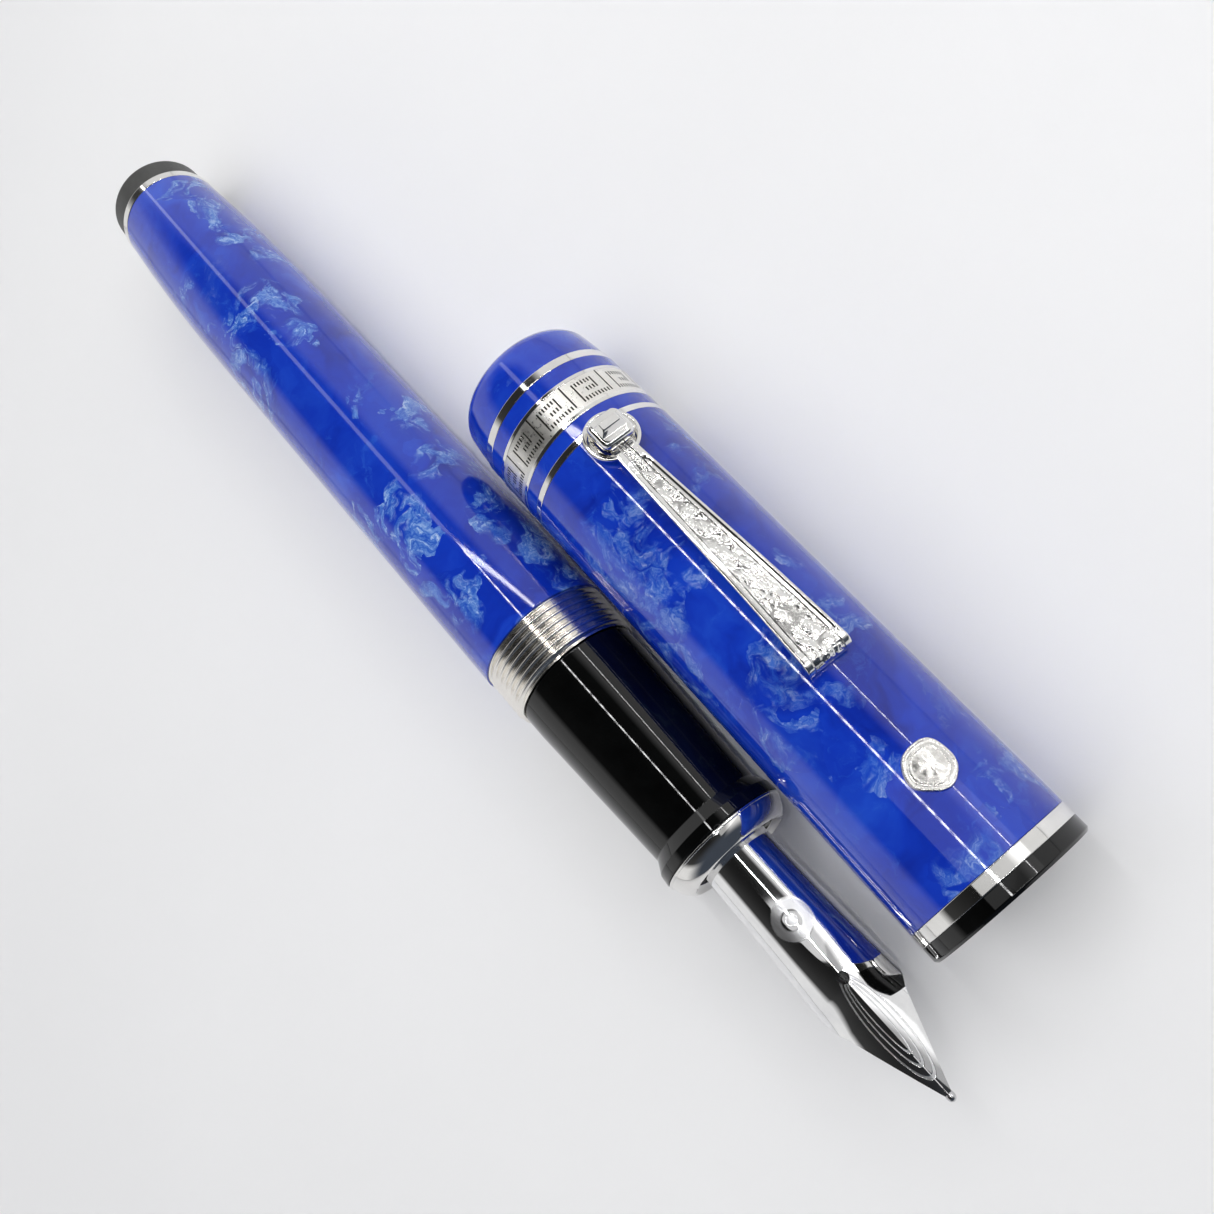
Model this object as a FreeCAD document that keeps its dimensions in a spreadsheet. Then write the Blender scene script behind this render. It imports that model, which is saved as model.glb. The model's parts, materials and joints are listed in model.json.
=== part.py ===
"""Fountain pen, uncapped, with its cap lying beside it.

All lengths are millimetres. Pen stations run along +X from the tail (0) to the
nib tip (134). Cap stations run along its own axis from the crown (0) to the mouth.
Each turned piece is a half outline of (station, radius) spun about its axis.
"""
import FreeCAD
import Part
import Sketcher

import math
import os

SHEET_NAME = "Sizes"

# Every driving size, by alias. Groups follow the pen from tail to nib, then the cap.
SIZES = {
    # tail knob (blind cap) and trim ring
    "knob_face": 5.35, "knob_edge": 0.6, "knob_radius": 5.95, "knob_rim": 6.02,
    "knob_length": 3.35, "knob_wall": 1.6, "knob_stub": 4.3, "knob_stub_end": 9.0,
    "knob_root": 4.05, "knob_bore": 3.66, "knob_pitch": 0.75,
    "ring_start": 3.4, "ring_end": 4.4, "ring_radius": 6.24, "ring_seat": 4.8,
    # barrel
    "tail_radius": 6.2, "belly_start": 27.0, "belly_radius": 7.104, "taper_arc": 284.0,
    "barrel_end": 80.1, "tail_bore": 4.36, "seal_start": 11.5, "seal_end": 12.9,
    "seal_seat": 4.9, "bore_start": 14.0, "barrel_bore": 4.75,
    "collar_seat_start": 73.0, "collar_seat": 6.1,
    # touchdown filler
    "tube_start": 2.0, "tube_floor": 2.9, "tube_end": 70.0, "tube_radius": 3.6,
    "tube_bore": 3.3, "flange_start": 68.8, "flange_radius": 4.5, "vent_station": 62.0,
    "vent_radius": 0.5,
    "oring_station": 12.2, "oring_centre": 4.25, "oring_section": 0.61,
    "guard_start": 24.0, "guard_floor": 24.8, "guard_end": 77.4, "guard_radius": 3.15,
    "guard_bore": 2.85, "guard_vent": 0.6,
    "sac_start": 26.0, "sac_floor": 26.6, "sac_end": 77.3, "sac_radius": 2.72,
    "sac_bore": 2.32, "sac_round": 1.4,
    "nipple_start": 72.0, "nipple_radius": 2.3, "nipple_shoulder": 77.5,
    "nipple_end": 84.0, "nipple_base": 3.9, "nipple_bore": 1.3,
    # thread collar
    "collar_end": 85.4, "collar_spigot": 6.08, "collar_bore": 5.0, "crest_radius": 6.97,
    "root_radius": 6.5, "thread_start": 80.42, "thread_pitch": 0.78,
    # grip section
    "stub_start": 76.0, "stub_radius": 4.95, "stub_root": 4.7, "stub_pitch": 0.8,
    "grip_start": 85.45, "grip_radius": 6.57, "stub_bore": 3.95, "grip_core_start": 84.1,
    "grip_core": 3.0, "unit_seat_start": 90.0, "unit_seat": 4.25, "waist_end": 103.9,
    "waist_radius": 5.78, "flare_end": 105.75, "flare_radius": 6.42, "flare_arc": 2.3,
    "grip_end": 106.35, "lip_radius": 6.5, "front_seat_start": 103.5, "front_seat": 4.95,
    # polished ring at the grip's front
    "front_ring_radius": 6.46, "front_ring_end": 108.4, "front_ring_nose": 5.25,
    "front_ring_arc": 2.6, "front_ring_bore": 4.35, "front_tenon": 4.9,
    "front_tenon_start": 103.6,
    # nib unit
    "unit_start": 90.2, "unit_floor": 91.2, "unit_end": 107.5, "unit_radius": 4.2,
    "unit_bore": 3.7, "unit_hole": 0.85,
    "feed_start": 91.3, "feed_radius": 3.13, "feed_taper": 118.6, "feed_end": 129.6,
    "feed_tip": 0.85, "fin_start": 109.2, "fin_pitch": 0.85, "fin_root": 2.3,
    "feed_slot": 0.2, "feed_slot_floor": 1.9,
    "breather_start": 60.0, "breather_end": 99.0, "breather_radius": 0.78,
    "breather_bore": 0.45, "breather_hole": 0.82,
    "nib_thickness": 0.42, "nib_end": 133.25, "shoulder_start": 122.3,
    "shoulder_half": 3.95, "shoulder_end": 125.3, "shoulder_low": 3.28,
    "shoulder_arc": 3.6, "tip_half": 0.33, "cut_half": 6.0, "cut_end": 136.0,
    "heart_station": 121.7, "heart_radius": 0.55, "slit_half": 0.05,
    "tipping_radius": 0.44, "tipping_station": 133.56, "tipping_height": 1.02,
    # cap stations and radii
    "crown_face": 5.4, "crown_edge": 1.9, "crown_edge_radius": 7.56, "crown_arc": 2.6,
    "crown_end": 5.31, "crown_radius": 7.87, "spigot_radius": 6.6, "spigot_end": 14.9,
    "spigot_bore": 5.9, "crown_floor": 3.2,
    "thin_one_end": 6.22, "thin_one_radius": 7.94, "band_start": 7.88,
    "band_edge_radius": 7.98, "band_rim": 0.45, "band_floor_radius": 7.93,
    "band_end": 11.98, "thin_two_start": 13.46, "thin_two_end": 14.14,
    "cap_radius": 7.99, "metal_radius": 8.02, "tube_bore_start": 15.3, "cap_bore": 7.05,
    "insert_start": 58.1, "insert_seat": 7.45, "insert_radius": 7.43,
    "lip_band_start": 62.54, "lip_band_end": 63.79, "cap_end": 65.3, "lip_edge": 0.25,
    "cap_root": 7.25, "cap_pitch": 0.8, "insert_thread_start": 59.0,
    "liner_start": 9.6, "liner_neck": 5.85, "liner_step": 15.4, "liner_radius": 7.22,
    "liner_end": 37.0, "liner_stop": 37.05, "liner_seat": 7.26, "liner_bore": 5.2,
    "liner_floor": 10.6,
    # clip, in the cap's frame with Z standing off the cap along the clip
    "eye_station": 15.9, "eye_radius": 2.65, "eye_hole": 1.5, "eye_low": 8.3,
    "neck_station": 18.35, "neck_half": 1.15, "clip_half": 2.25, "clip_end": 43.5,
    "blade_low_start": 19.5, "blade_rise": 9.0, "clip_thickness": 0.6,
    "clip_span": 3.0, "panel_inset": 0.42, "panel_depth": 0.16,
    "fold_start": 42.8, "fold_low": 8.2,
    "ear_start": 40.9, "ear_half": 1.72, "ear_width": 0.42, "ear_low": 8.12, "ear_high": 9.2,
    "axle_station": 41.6, "axle_height": 8.5, "axle_radius": 0.2, "axle_half": 2.1,
    "roller_radius": 0.42, "roller_bore": 0.24, "roller_half": 1.62,
    # clip knob
    "post_radius": 1.2, "post_hole": 1.22, "post_low": 7.3, "post_height": 2.0,
    "hole_low": 5.7, "head_low": 9.1,
    "head_height": 1.15, "head_long": 1.6, "head_wide": 1.72, "head_round": 0.7,
    "bar_height": 0.75, "bar_long": 0.72, "bar_wide": 1.25, "bar_round": 0.15,
    # seal disc
    "seal_station": 54.5, "disc_radius": 2.32, "disc_pocket": 2.35, "disc_low": 7.42,
    "disc_high": 9.0, "disc_crown": 8.3,
    # how the two halves lie on the table
    "nib_roll": -18.0, "clip_roll": -30.7, "cap_along": 60.574, "cap_across": 16.743,
    "cap_yaw": -1.2077,
}

# Nib cross-sections: station, height of the top line, outer radius and half width.
NIB_SECTIONS = [
    (92.0, 3.65, 3.65, 3.45),
    (97.0, 3.65, 3.65, 3.45),
    (102.0, 3.65, 3.65, 3.45),
    (107.0, 3.65, 3.65, 3.45),
    (112.0, 3.64, 3.72, 3.55),
    (117.0, 3.62, 3.85, 3.70),
    (122.5, 3.35, 4.10, 3.95),
    (128.0, 2.42, 4.10, 3.95),
    (134.4, 1.18, 3.90, 3.75),
]
NIB_LETTERS = "abcdefghi"

doc = FreeCAD.newDocument("fountain_pen")
parts = {}


def fill_sheet():
    """Put every size in the sheet as a plain number with its alias."""
    sheet = doc.addObject("Spreadsheet::Sheet", SHEET_NAME)
    for row, (alias, size) in enumerate(SIZES.items(), start=1):
        sheet.set(f"A{row}", alias)
        sheet.set(f"B{row}", str(size))
        sheet.setAlias(f"B{row}", alias)
    doc.recompute()


def add_nib_sizes():
    """Give each nib section its own aliases."""
    for number, section in enumerate(NIB_SECTIONS):
        names = ("nib_station_", "nib_top_", "nib_arc_", "nib_half_")
        for name, size in zip(names, section):
            SIZES[name + NIB_LETTERS[number]] = size


def terms(text):
    """Split a sum such as 'thread_start + 2*thread_pitch' into (factor, alias) pairs."""
    sign = 1.0
    pairs = []
    for token in text.split():
        if token in ("+", "-"):
            sign = 1.0 if token == "+" else -1.0
            continue
        factor, _, alias = token.rpartition("*")
        pairs.append((sign * (float(factor) if factor else 1.0), alias))
        sign = 1.0
    return pairs


def amount(text):
    """The value of a sum of sizes."""
    return sum(factor * SIZES[alias] for factor, alias in terms(text))


def formula(text):
    """The same sum as an expression on the sheet."""
    return " + ".join(f"({factor}) * {SHEET_NAME}.{alias}" for factor, alias in terms(text))


def bind(thing, prop, text):
    """Tie a property of a document object to the sheet."""
    thing.setExpression(prop, formula(text))


def arc_between(start, end, radius, bulge):
    """An arc from start to end. bulge +1 keeps its centre on the right of the chord."""
    chord = end - start
    half = chord.Length / 2.0
    sagitta = radius - math.sqrt(radius * radius - half * half)
    left = FreeCAD.Vector(-chord.y, chord.x, 0).normalize()
    middle = (start + end) * 0.5 + left * (bulge * sagitta)
    return Part.Arc(start, middle, end)


def place_vertex(sketch, index, position, point):
    """Hold one vertex at its station and radius."""
    for axis, text, kind in ((-2, point[0], "DistanceX"), (-1, point[1], "DistanceY")):
        if text is None:
            sketch.addConstraint(Sketcher.Constraint("PointOnObject", index, position, axis))
            continue
        datum = Sketcher.Constraint(kind, -1, 1, index, position, amount(text))
        number = sketch.addConstraint(datum)
        sketch.setExpression(f"Constraints[{number}]", formula(text))


def draw_outline(sketch, points):
    """Draw a closed outline. A point is (x, y) or (x, y, arc radius, bulge) for its next side."""
    spots = [FreeCAD.Vector(*[amount(t) if t else 0.0 for t in p[:2]], 0) for p in points]
    ends = []
    for number, point in enumerate(points):
        start, end = spots[number], spots[(number + 1) % len(spots)]
        if len(point) == 2:
            index = sketch.addGeometry(Part.LineSegment(start, end), False)
            ends.append((index, 1, 2))
            continue
        index = sketch.addGeometry(arc_between(start, end, amount(point[2]), point[3]), False)
        forward = point[3] < 0
        ends.append((index, 1, 2) if forward else (index, 2, 1))
    for number, (index, first, last) in enumerate(ends):
        following, entry, _ = ends[(number + 1) % len(ends)]
        sketch.addConstraint(Sketcher.Constraint("Coincident", index, last, following, entry))
    for (index, first, _), point in zip(ends, points):
        place_vertex(sketch, index, first, point)
        if len(point) > 2:
            radius = sketch.addConstraint(Sketcher.Constraint("Radius", index, amount(point[2])))
            sketch.setExpression(f"Constraints[{radius}]", formula(point[2]))


def draw_circle(sketch, centre, radius):
    """Draw a circle held at its centre and radius."""
    spot = FreeCAD.Vector(*[amount(t) if t else 0.0 for t in centre], 0)
    circle = Part.Circle(spot, FreeCAD.Vector(0, 0, 1), amount(radius))
    index = sketch.addGeometry(circle, False)
    place_vertex(sketch, index, 3, centre)
    held = sketch.addConstraint(Sketcher.Constraint("Radius", index, amount(radius)))
    sketch.setExpression(f"Constraints[{held}]", formula(radius))


def new_body(name):
    """A body with its own label."""
    body = doc.addObject("PartDesign::Body", name)
    body.Label = name
    return body


def new_sketch(body, role, height=None):
    """A sketch on one of the body's own origin planes, lifted by height."""
    sketch = body.newObject("Sketcher::SketchObject", body.Name + "_sketch")
    plane = [f for f in body.Origin.OriginFeatures if f.Role == role][0]
    sketch.AttachmentSupport = [(plane, "")]
    sketch.MapMode = "FlatFace"
    if height:
        bind(sketch, "AttachmentOffset.Base.z", height)
    return sketch


def turned(name, points):
    """A piece turned about its own X axis from a half outline."""
    body = new_body(name)
    sketch = new_sketch(body, "XZ_Plane")
    draw_outline(sketch, points)
    spin = body.newObject("PartDesign::Revolution", name + "_turning")
    spin.Profile = sketch
    spin.ReferenceAxis = (sketch, ["H_Axis"])
    spin.Angle = 360
    return body


def sleeve(name, start, end, outer, inner):
    """A plain ring: the shape of every trim ring and spacer."""
    return turned(name, [(start, inner), (start, outer), (end, outer), (end, inner)])


def cut_away(body, role, draw):
    """Cut a drawn area right through the body in both directions."""
    doc.recompute()
    before = body.Shape.Volume
    sketch = new_sketch(body, role)
    draw(sketch)
    pocket = body.newObject("PartDesign::Pocket", body.Name + "_cut")
    pocket.Profile = sketch
    pocket.Type = "ThroughAll"
    pocket.Midplane = True
    doc.recompute()
    if body.Shape.Volume >= before - 1e-4:
        raise RuntimeError(f"{body.Label}: a cut removed nothing")


def raise_pad(body, low, height, draw, taper=0.0):
    """Add a block that stands on the plane at height low."""
    sketch = new_sketch(body, "XY_Plane", low)
    draw(sketch)
    pad = body.newObject("PartDesign::Pad", body.Name + "_pad")
    pad.Profile = sketch
    bind(pad, "Length", height)
    pad.TaperAngle = taper


def ridges(start, pitch, turns, crest, root):
    """Thread turns as rings, drawn from the start towards the mouth."""
    points = []
    for turn in range(turns):
        for share, radius in ((0.0, crest), (0.3, crest), (0.5, root), (0.8, root)):
            points.append((f"{start} + {turn + share}*{pitch}", radius))
    points.append((f"{start} + {turns}*{pitch}", crest))
    return points


def keep(thing):
    """Count a finished object as one sub-part."""
    parts[thing.Label] = thing
    return thing


def build_tail():
    """The turning knob at the tail and the bright ring ahead of it."""
    knob = [(None, None), (None, "knob_face"), ("knob_edge", "knob_radius")]
    knob += [("knob_length", "knob_rim"), ("knob_length", "knob_stub")]
    knob += ridges("knob_length + knob_pitch", "knob_pitch", 5, "knob_stub", "knob_root")
    knob += [("knob_stub_end", "knob_stub"), ("knob_stub_end", "knob_bore")]
    knob += [("knob_wall", "knob_bore"), ("knob_wall", None)]
    keep(turned("tail_knob", knob))
    keep(sleeve("tail_trim_ring", "ring_start", "ring_end", "ring_radius", "ring_seat"))


def build_barrel():
    """The resin barrel: tapered tail, straight belly, stepped bore."""
    keep(turned("barrel", [
        ("ring_start", "tail_bore"), ("ring_start", "ring_seat"), ("ring_end", "ring_seat"),
        ("ring_end", "tail_radius", "taper_arc", 1), ("belly_start", "belly_radius"),
        ("barrel_end", "belly_radius"), ("barrel_end", "collar_seat"),
        ("collar_seat_start", "collar_seat"), ("collar_seat_start", "barrel_bore"),
        ("bore_start", "barrel_bore"), ("bore_start", "tail_bore"),
        ("seal_end", "tail_bore"), ("seal_end", "seal_seat"),
        ("seal_start", "seal_seat"), ("seal_start", "tail_bore"),
    ]))
    ring = new_body("barrel_seal_ring")
    sketch = new_sketch(ring, "XZ_Plane")
    draw_circle(sketch, ("oring_station", "oring_centre"), "oring_section")
    spin = ring.newObject("PartDesign::Revolution", "seal_turning")
    spin.Profile = sketch
    spin.ReferenceAxis = (sketch, ["H_Axis"])
    spin.Angle = 360
    keep(ring)


def build_filler():
    """The touchdown tube, and the guarded ink sac it slides over."""
    tube = turned("touchdown_tube", [
        ("tube_start", None), ("tube_start", "tube_radius"),
        ("flange_start", "tube_radius"), ("flange_start", "flange_radius"),
        ("tube_end", "flange_radius"), ("tube_end", "tube_bore"),
        ("tube_floor", "tube_bore"), ("tube_floor", None),
    ])
    cut_away(tube, "XY_Plane", lambda s: draw_circle(s, ("vent_station", None), "vent_radius"))
    keep(tube)
    keep(turned("sac_guard", [
        ("guard_start", "guard_vent"), ("guard_start", "guard_radius"),
        ("guard_end", "guard_radius"), ("guard_end", "guard_bore"),
        ("guard_floor", "guard_bore"), ("guard_floor", "guard_vent"),
    ]))
    keep(turned("ink_sac", [
        ("sac_start", None), ("sac_start", "sac_round"),
        ("sac_start + 1.4*sac_round", "sac_radius"), ("sac_end", "sac_radius"),
        ("sac_end", "sac_bore"), ("sac_floor + 1.4*sac_round", "sac_bore"),
        ("sac_floor", "0.8*sac_round"), ("sac_floor", None),
    ]))
    keep(turned("sac_nipple", [
        ("nipple_start", "nipple_bore"), ("nipple_start", "nipple_radius"),
        ("nipple_shoulder", "nipple_radius"), ("nipple_shoulder", "nipple_base"),
        ("nipple_end", "nipple_base"), ("nipple_end", "nipple_bore"),
    ]))


def build_collar():
    """The bright threaded collar that the cap screws onto."""
    collar = [("collar_seat_start", "collar_bore"), ("collar_seat_start", "collar_spigot")]
    collar += [("barrel_end", "collar_spigot"), ("barrel_end", "crest_radius")]
    collar += ridges("thread_start", "thread_pitch", 6, "crest_radius", "root_radius")
    collar += [("collar_end", "crest_radius"), ("collar_end", "collar_bore")]
    keep(turned("thread_collar", collar))


def build_grip():
    """The black grip section with its flared front and polished front ring."""
    grip = [("stub_start", "stub_bore")]
    grip += ridges("stub_start", "stub_pitch", 8, "stub_radius", "stub_root")
    grip += [
        ("grip_start", "stub_radius"), ("grip_start", "grip_radius"),
        ("waist_end", "waist_radius", "flare_arc", -1), ("flare_end", "flare_radius"),
        ("grip_end", "lip_radius"), ("grip_end", "front_seat"),
        ("front_seat_start", "front_seat"), ("front_seat_start", "unit_seat"),
        ("unit_seat_start", "unit_seat"), ("unit_seat_start", "grip_core"),
        ("grip_core_start", "grip_core"), ("grip_core_start", "stub_bore"),
    ]
    keep(turned("grip_section", grip))
    keep(turned("grip_front_ring", [
        ("front_tenon_start", "front_ring_bore"), ("front_tenon_start", "front_tenon"),
        ("grip_end", "front_tenon"), ("grip_end", "front_ring_radius", "front_ring_arc", 1),
        ("front_ring_end", "front_ring_nose"), ("front_ring_end", "front_ring_bore"),
    ]))


def build_feed():
    """The nib unit's housing, the finned feed and its breather tube."""
    keep(turned("nib_housing", [
        ("unit_start", "unit_hole"), ("unit_start", "unit_radius"),
        ("unit_end", "unit_radius"), ("unit_end", "unit_bore"),
        ("unit_floor", "unit_bore"), ("unit_floor", "unit_hole"),
    ]))
    feed = [("feed_start", "breather_hole"), ("feed_start", "feed_radius")]
    feed += ridges("fin_start", "fin_pitch", 10, "feed_radius", "fin_root")
    feed += [("feed_taper", "feed_radius"), ("feed_end", "feed_tip"), ("feed_end", None)]
    feed += [("breather_end", None), ("breather_end", "breather_hole")]
    body = turned("feed", feed)
    doc.recompute()
    before = body.Shape.Volume
    sketch = new_sketch(body, "XY_Plane", "feed_slot_floor")
    draw_outline(sketch, [
        ("feed_start", "feed_slot"), ("feed_end + feed_tip", "feed_slot"),
        ("feed_end + feed_tip", "-1*feed_slot"), ("feed_start", "-1*feed_slot"),
    ])
    channel = body.newObject("PartDesign::Pocket", "feed_channel")
    channel.Profile = sketch
    channel.Type = "ThroughAll"
    channel.Reversed = True
    doc.recompute()
    if body.Shape.Volume >= before - 1e-4:
        raise RuntimeError("the feed channel cut nothing")
    keep(body)
    keep(sleeve("breather_tube", "breather_start", "breather_end",
                "breather_radius", "breather_bore"))


def nib_section(body, letter):
    """One crescent across the nib, outer arc over inner arc."""
    sketch = new_sketch(body, "YZ_Plane", "nib_station_" + letter)
    top, arc = SIZES["nib_top_" + letter], SIZES["nib_arc_" + letter]
    half, skin = SIZES["nib_half_" + letter], SIZES["nib_thickness"]
    inner_half = half * (arc - skin) / arc
    outer_edge = top - arc + math.sqrt(arc ** 2 - half ** 2)
    inner_edge = top - arc + math.sqrt((arc - skin) ** 2 - inner_half ** 2)
    spots = [
        FreeCAD.Vector(-half, outer_edge, 0), FreeCAD.Vector(half, outer_edge, 0),
        FreeCAD.Vector(inner_half, inner_edge, 0), FreeCAD.Vector(-inner_half, inner_edge, 0),
    ]
    sketch.addGeometry(Part.Arc(spots[0], FreeCAD.Vector(0, top, 0), spots[1]), False)
    sketch.addGeometry(Part.LineSegment(spots[1], spots[2]), False)
    sketch.addGeometry(Part.Arc(spots[2], FreeCAD.Vector(0, top - skin, 0), spots[3]), False)
    sketch.addGeometry(Part.LineSegment(spots[3], spots[0]), False)
    for first, last in (((0, 1), (1, 1)), ((1, 2), (2, 1)), ((2, 2), (3, 1)), ((3, 2), (0, 2))):
        sketch.addConstraint(Sketcher.Constraint("Coincident", *first, *last))
    a = f"{SHEET_NAME}.nib_arc_{letter}"
    b = f"{SHEET_NAME}.nib_half_{letter}"
    c = f"{SHEET_NAME}.nib_top_{letter}"
    d = f"({a} - {SHEET_NAME}.nib_thickness)"
    inner = f"({b} * {d} / {a})"
    sizes = [
        ("DistanceX", 1, 1, half, b),
        ("DistanceY", 1, 1, outer_edge, f"{c} - {a} + sqrt({a} ^ 2 - {b} ^ 2)"),
        ("DistanceX", 3, 2, -half, f"-{b}"),
        ("DistanceY", 3, 2, outer_edge, f"{c} - {a} + sqrt({a} ^ 2 - {b} ^ 2)"),
        ("DistanceX", 1, 2, inner_half, inner),
        ("DistanceY", 1, 2, inner_edge, f"{c} - {a} + sqrt({d} ^ 2 - {inner} ^ 2)"),
        ("DistanceX", 3, 1, -inner_half, f"-{inner}"),
        ("DistanceY", 3, 1, inner_edge, f"{c} - {a} + sqrt({d} ^ 2 - {inner} ^ 2)"),
    ]
    for kind, index, position, size, text in sizes:
        datum = Sketcher.Constraint(kind, -1, 1, index, position, size)
        number = sketch.addConstraint(datum)
        sketch.setExpression(f"Constraints[{number}]", text)
    for index, size, text in ((0, arc, a), (2, arc - skin, d)):
        number = sketch.addConstraint(Sketcher.Constraint("Radius", index, size))
        sketch.setExpression(f"Constraints[{number}]", text)
    return sketch


def build_nib():
    """The rolled nib: a lofted crescent, cut to its plan, with heart hole and slit."""
    body = new_body("nib")
    sections = [nib_section(body, letter) for letter in NIB_LETTERS]
    loft = body.newObject("PartDesign::AdditiveLoft", "nib_loft")
    loft.Profile = sections[0]
    loft.Sections = sections[1:]
    cut_away(body, "XY_Plane", lambda s: draw_outline(s, [
        ("shoulder_start", "shoulder_half", "shoulder_arc", 1),
        ("shoulder_end", "shoulder_low"), ("nib_end", "tip_half"),
        ("nib_end", "-1*tip_half"), ("shoulder_end", "-1*shoulder_low", "shoulder_arc", 1),
        ("shoulder_start", "-1*shoulder_half"), ("shoulder_start", "-1*cut_half"),
        ("cut_end", "-1*cut_half"), ("cut_end", "cut_half"), ("shoulder_start", "cut_half"),
    ]))
    cut_away(body, "XY_Plane", lambda s: draw_circle(s, ("heart_station", None), "heart_radius"))
    cut_away(body, "XY_Plane", lambda s: draw_outline(s, [
        ("heart_station", "slit_half"), ("cut_end", "slit_half"),
        ("cut_end", "-1*slit_half"), ("heart_station", "-1*slit_half"),
    ]))
    keep(body)
    ball = doc.addObject("Part::Sphere", "tipping_ball")
    bind(ball, "Radius", "tipping_radius")
    bind(ball, "Placement.Base.x", "tipping_station")
    bind(ball, "Placement.Base.z", "tipping_height")
    behind = doc.addObject("Part::Box", "tipping_face")
    for prop in ("Length", "Width", "Height"):
        bind(behind, prop, "2*tipping_radius")
    bind(behind, "Placement.Base.x", "nib_end - 2*tipping_radius")
    bind(behind, "Placement.Base.y", "-1*tipping_radius")
    bind(behind, "Placement.Base.z", "tipping_height - tipping_radius")
    keep(boolean("Part::Cut", "nib_tipping", ball, behind))


def boolean(kind, name, base, tool):
    """One boolean of two objects, labelled."""
    result = doc.addObject(kind, name)
    result.Base = base
    result.Tool = tool
    result.Label = name
    return result


def build_cap_head():
    """The crown with its spigot, and the rings and spacers threaded over it."""
    keep(turned("cap_crown", [
        (None, None), (None, "crown_face", "crown_arc", 1),
        ("crown_edge", "crown_edge_radius"), ("crown_end", "crown_radius"),
        ("crown_end", "spigot_radius"), ("spigot_end", "spigot_radius"),
        ("spigot_end", "spigot_bore"), ("crown_floor", "spigot_bore"),
        ("crown_floor", None),
    ]))
    for name, start, end, radius in (
        ("crown_ring", "crown_end", "thin_one_end", "thin_one_radius"),
        ("upper_spacer", "thin_one_end", "band_start", "thin_one_radius"),
        ("lower_spacer", "band_end", "thin_two_start", "cap_radius"),
        ("clip_ring", "thin_two_start", "thin_two_end", "metal_radius"),
    ):
        keep(sleeve(name, start, end, radius, "spigot_radius"))
    keep(turned("key_band", [
        ("band_start", "spigot_radius"), ("band_start", "metal_radius"),
        ("band_start + band_rim", "metal_radius"), ("band_start + band_rim", "band_floor_radius"),
        ("band_end - band_rim", "band_floor_radius"), ("band_end - band_rim", "metal_radius"),
        ("band_end", "metal_radius"), ("band_end", "spigot_radius"),
    ]))


def build_cap_tube():
    """The cap tube, its bright band, black lip with thread, and inner liner."""
    tube = turned("cap_tube", [
        ("thin_two_end", "spigot_radius"), ("thin_two_end", "cap_radius"),
        ("lip_band_start", "cap_radius"), ("lip_band_start", "insert_seat"),
        ("insert_start", "insert_seat"), ("insert_start", "cap_bore"),
        ("liner_stop", "cap_bore"), ("liner_stop", "liner_seat"),
        ("tube_bore_start", "liner_seat"), ("tube_bore_start", "spigot_radius"),
    ])
    drill_out(tube, "eye_station", "post_hole", "hole_low")
    drill_out(tube, "seal_station", "disc_pocket", "disc_low")
    keep(tube)
    keep(sleeve("lip_band", "lip_band_start", "lip_band_end", "metal_radius", "insert_seat"))
    lip = [("insert_start", "insert_radius"), ("lip_band_end", "insert_radius")]
    lip += [("lip_band_end", "cap_radius"), ("cap_end - lip_edge", "cap_radius")]
    lip += [("cap_end", "cap_radius - lip_edge"), ("cap_end", "cap_bore + lip_edge")]
    lip += [("cap_end - lip_edge", "cap_bore")]
    lip += ridges("insert_thread_start", "cap_pitch", 6, "cap_bore", "cap_root")[::-1]
    lip += [("insert_start", "cap_bore")]
    keep(turned("cap_lip", lip))
    keep(turned("inner_liner", [
        ("liner_start", None), ("liner_start", "liner_neck"), ("liner_step", "liner_neck"),
        ("liner_step", "liner_radius"), ("liner_end", "liner_radius"),
        ("liner_end", "liner_bore"), ("liner_floor", "liner_bore"), ("liner_floor", None),
    ]))


def drill_out(body, station, radius, low):
    """Drill outwards through one side of a cap piece, from height low upwards."""
    doc.recompute()
    before = body.Shape.Volume
    sketch = new_sketch(body, "XY_Plane", low)
    draw_circle(sketch, (station, None), radius)
    hole = body.newObject("PartDesign::Pocket", body.Name + "_hole")
    hole.Profile = sketch
    hole.Type = "ThroughAll"
    hole.Reversed = True
    doc.recompute()
    if body.Shape.Volume >= before - 1e-4:
        raise RuntimeError(f"{body.Label}: a hole removed nothing")


def drawn(name, upright, points):
    """A free sketch, upright in the XZ plane or flat in the XY plane."""
    sketch = doc.addObject("Sketcher::SketchObject", name)
    if upright:
        turn = FreeCAD.Rotation(FreeCAD.Vector(1, 0, 0), 90)
        sketch.Placement = FreeCAD.Placement(FreeCAD.Vector(0, 0, 0), turn)
    draw_outline(sketch, points)
    return sketch


def extruded(name, upright, points, length):
    """A block of the drawn outline, to both sides if upright, upwards if flat."""
    block = doc.addObject("Part::Extrusion", name)
    block.Base = drawn(name + "_outline", upright, points)
    block.DirMode = "Normal"
    block.Symmetric = upright
    block.Solid = True
    bind(block, "LengthFwd", length)
    return block


def side_band(name, drop, thickness):
    """The clip seen from the side: a band of the given thickness under its top line."""
    top = [("eye_station - eye_radius", "eye_low + clip_thickness"),
           ("blade_low_start", "eye_low + clip_thickness"),
           ("0.5*blade_low_start + 0.5*fold_start", "blade_rise + 0.6*clip_thickness"),
           ("clip_end", "blade_rise + clip_thickness")]
    upper = [(x, f"{z} - {drop}") for x, z in top]
    lower = [(x, f"{z} - {drop} - {thickness}") for x, z in top[::-1]]
    return extruded(name, True, upper + lower, "2*clip_span")


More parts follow.
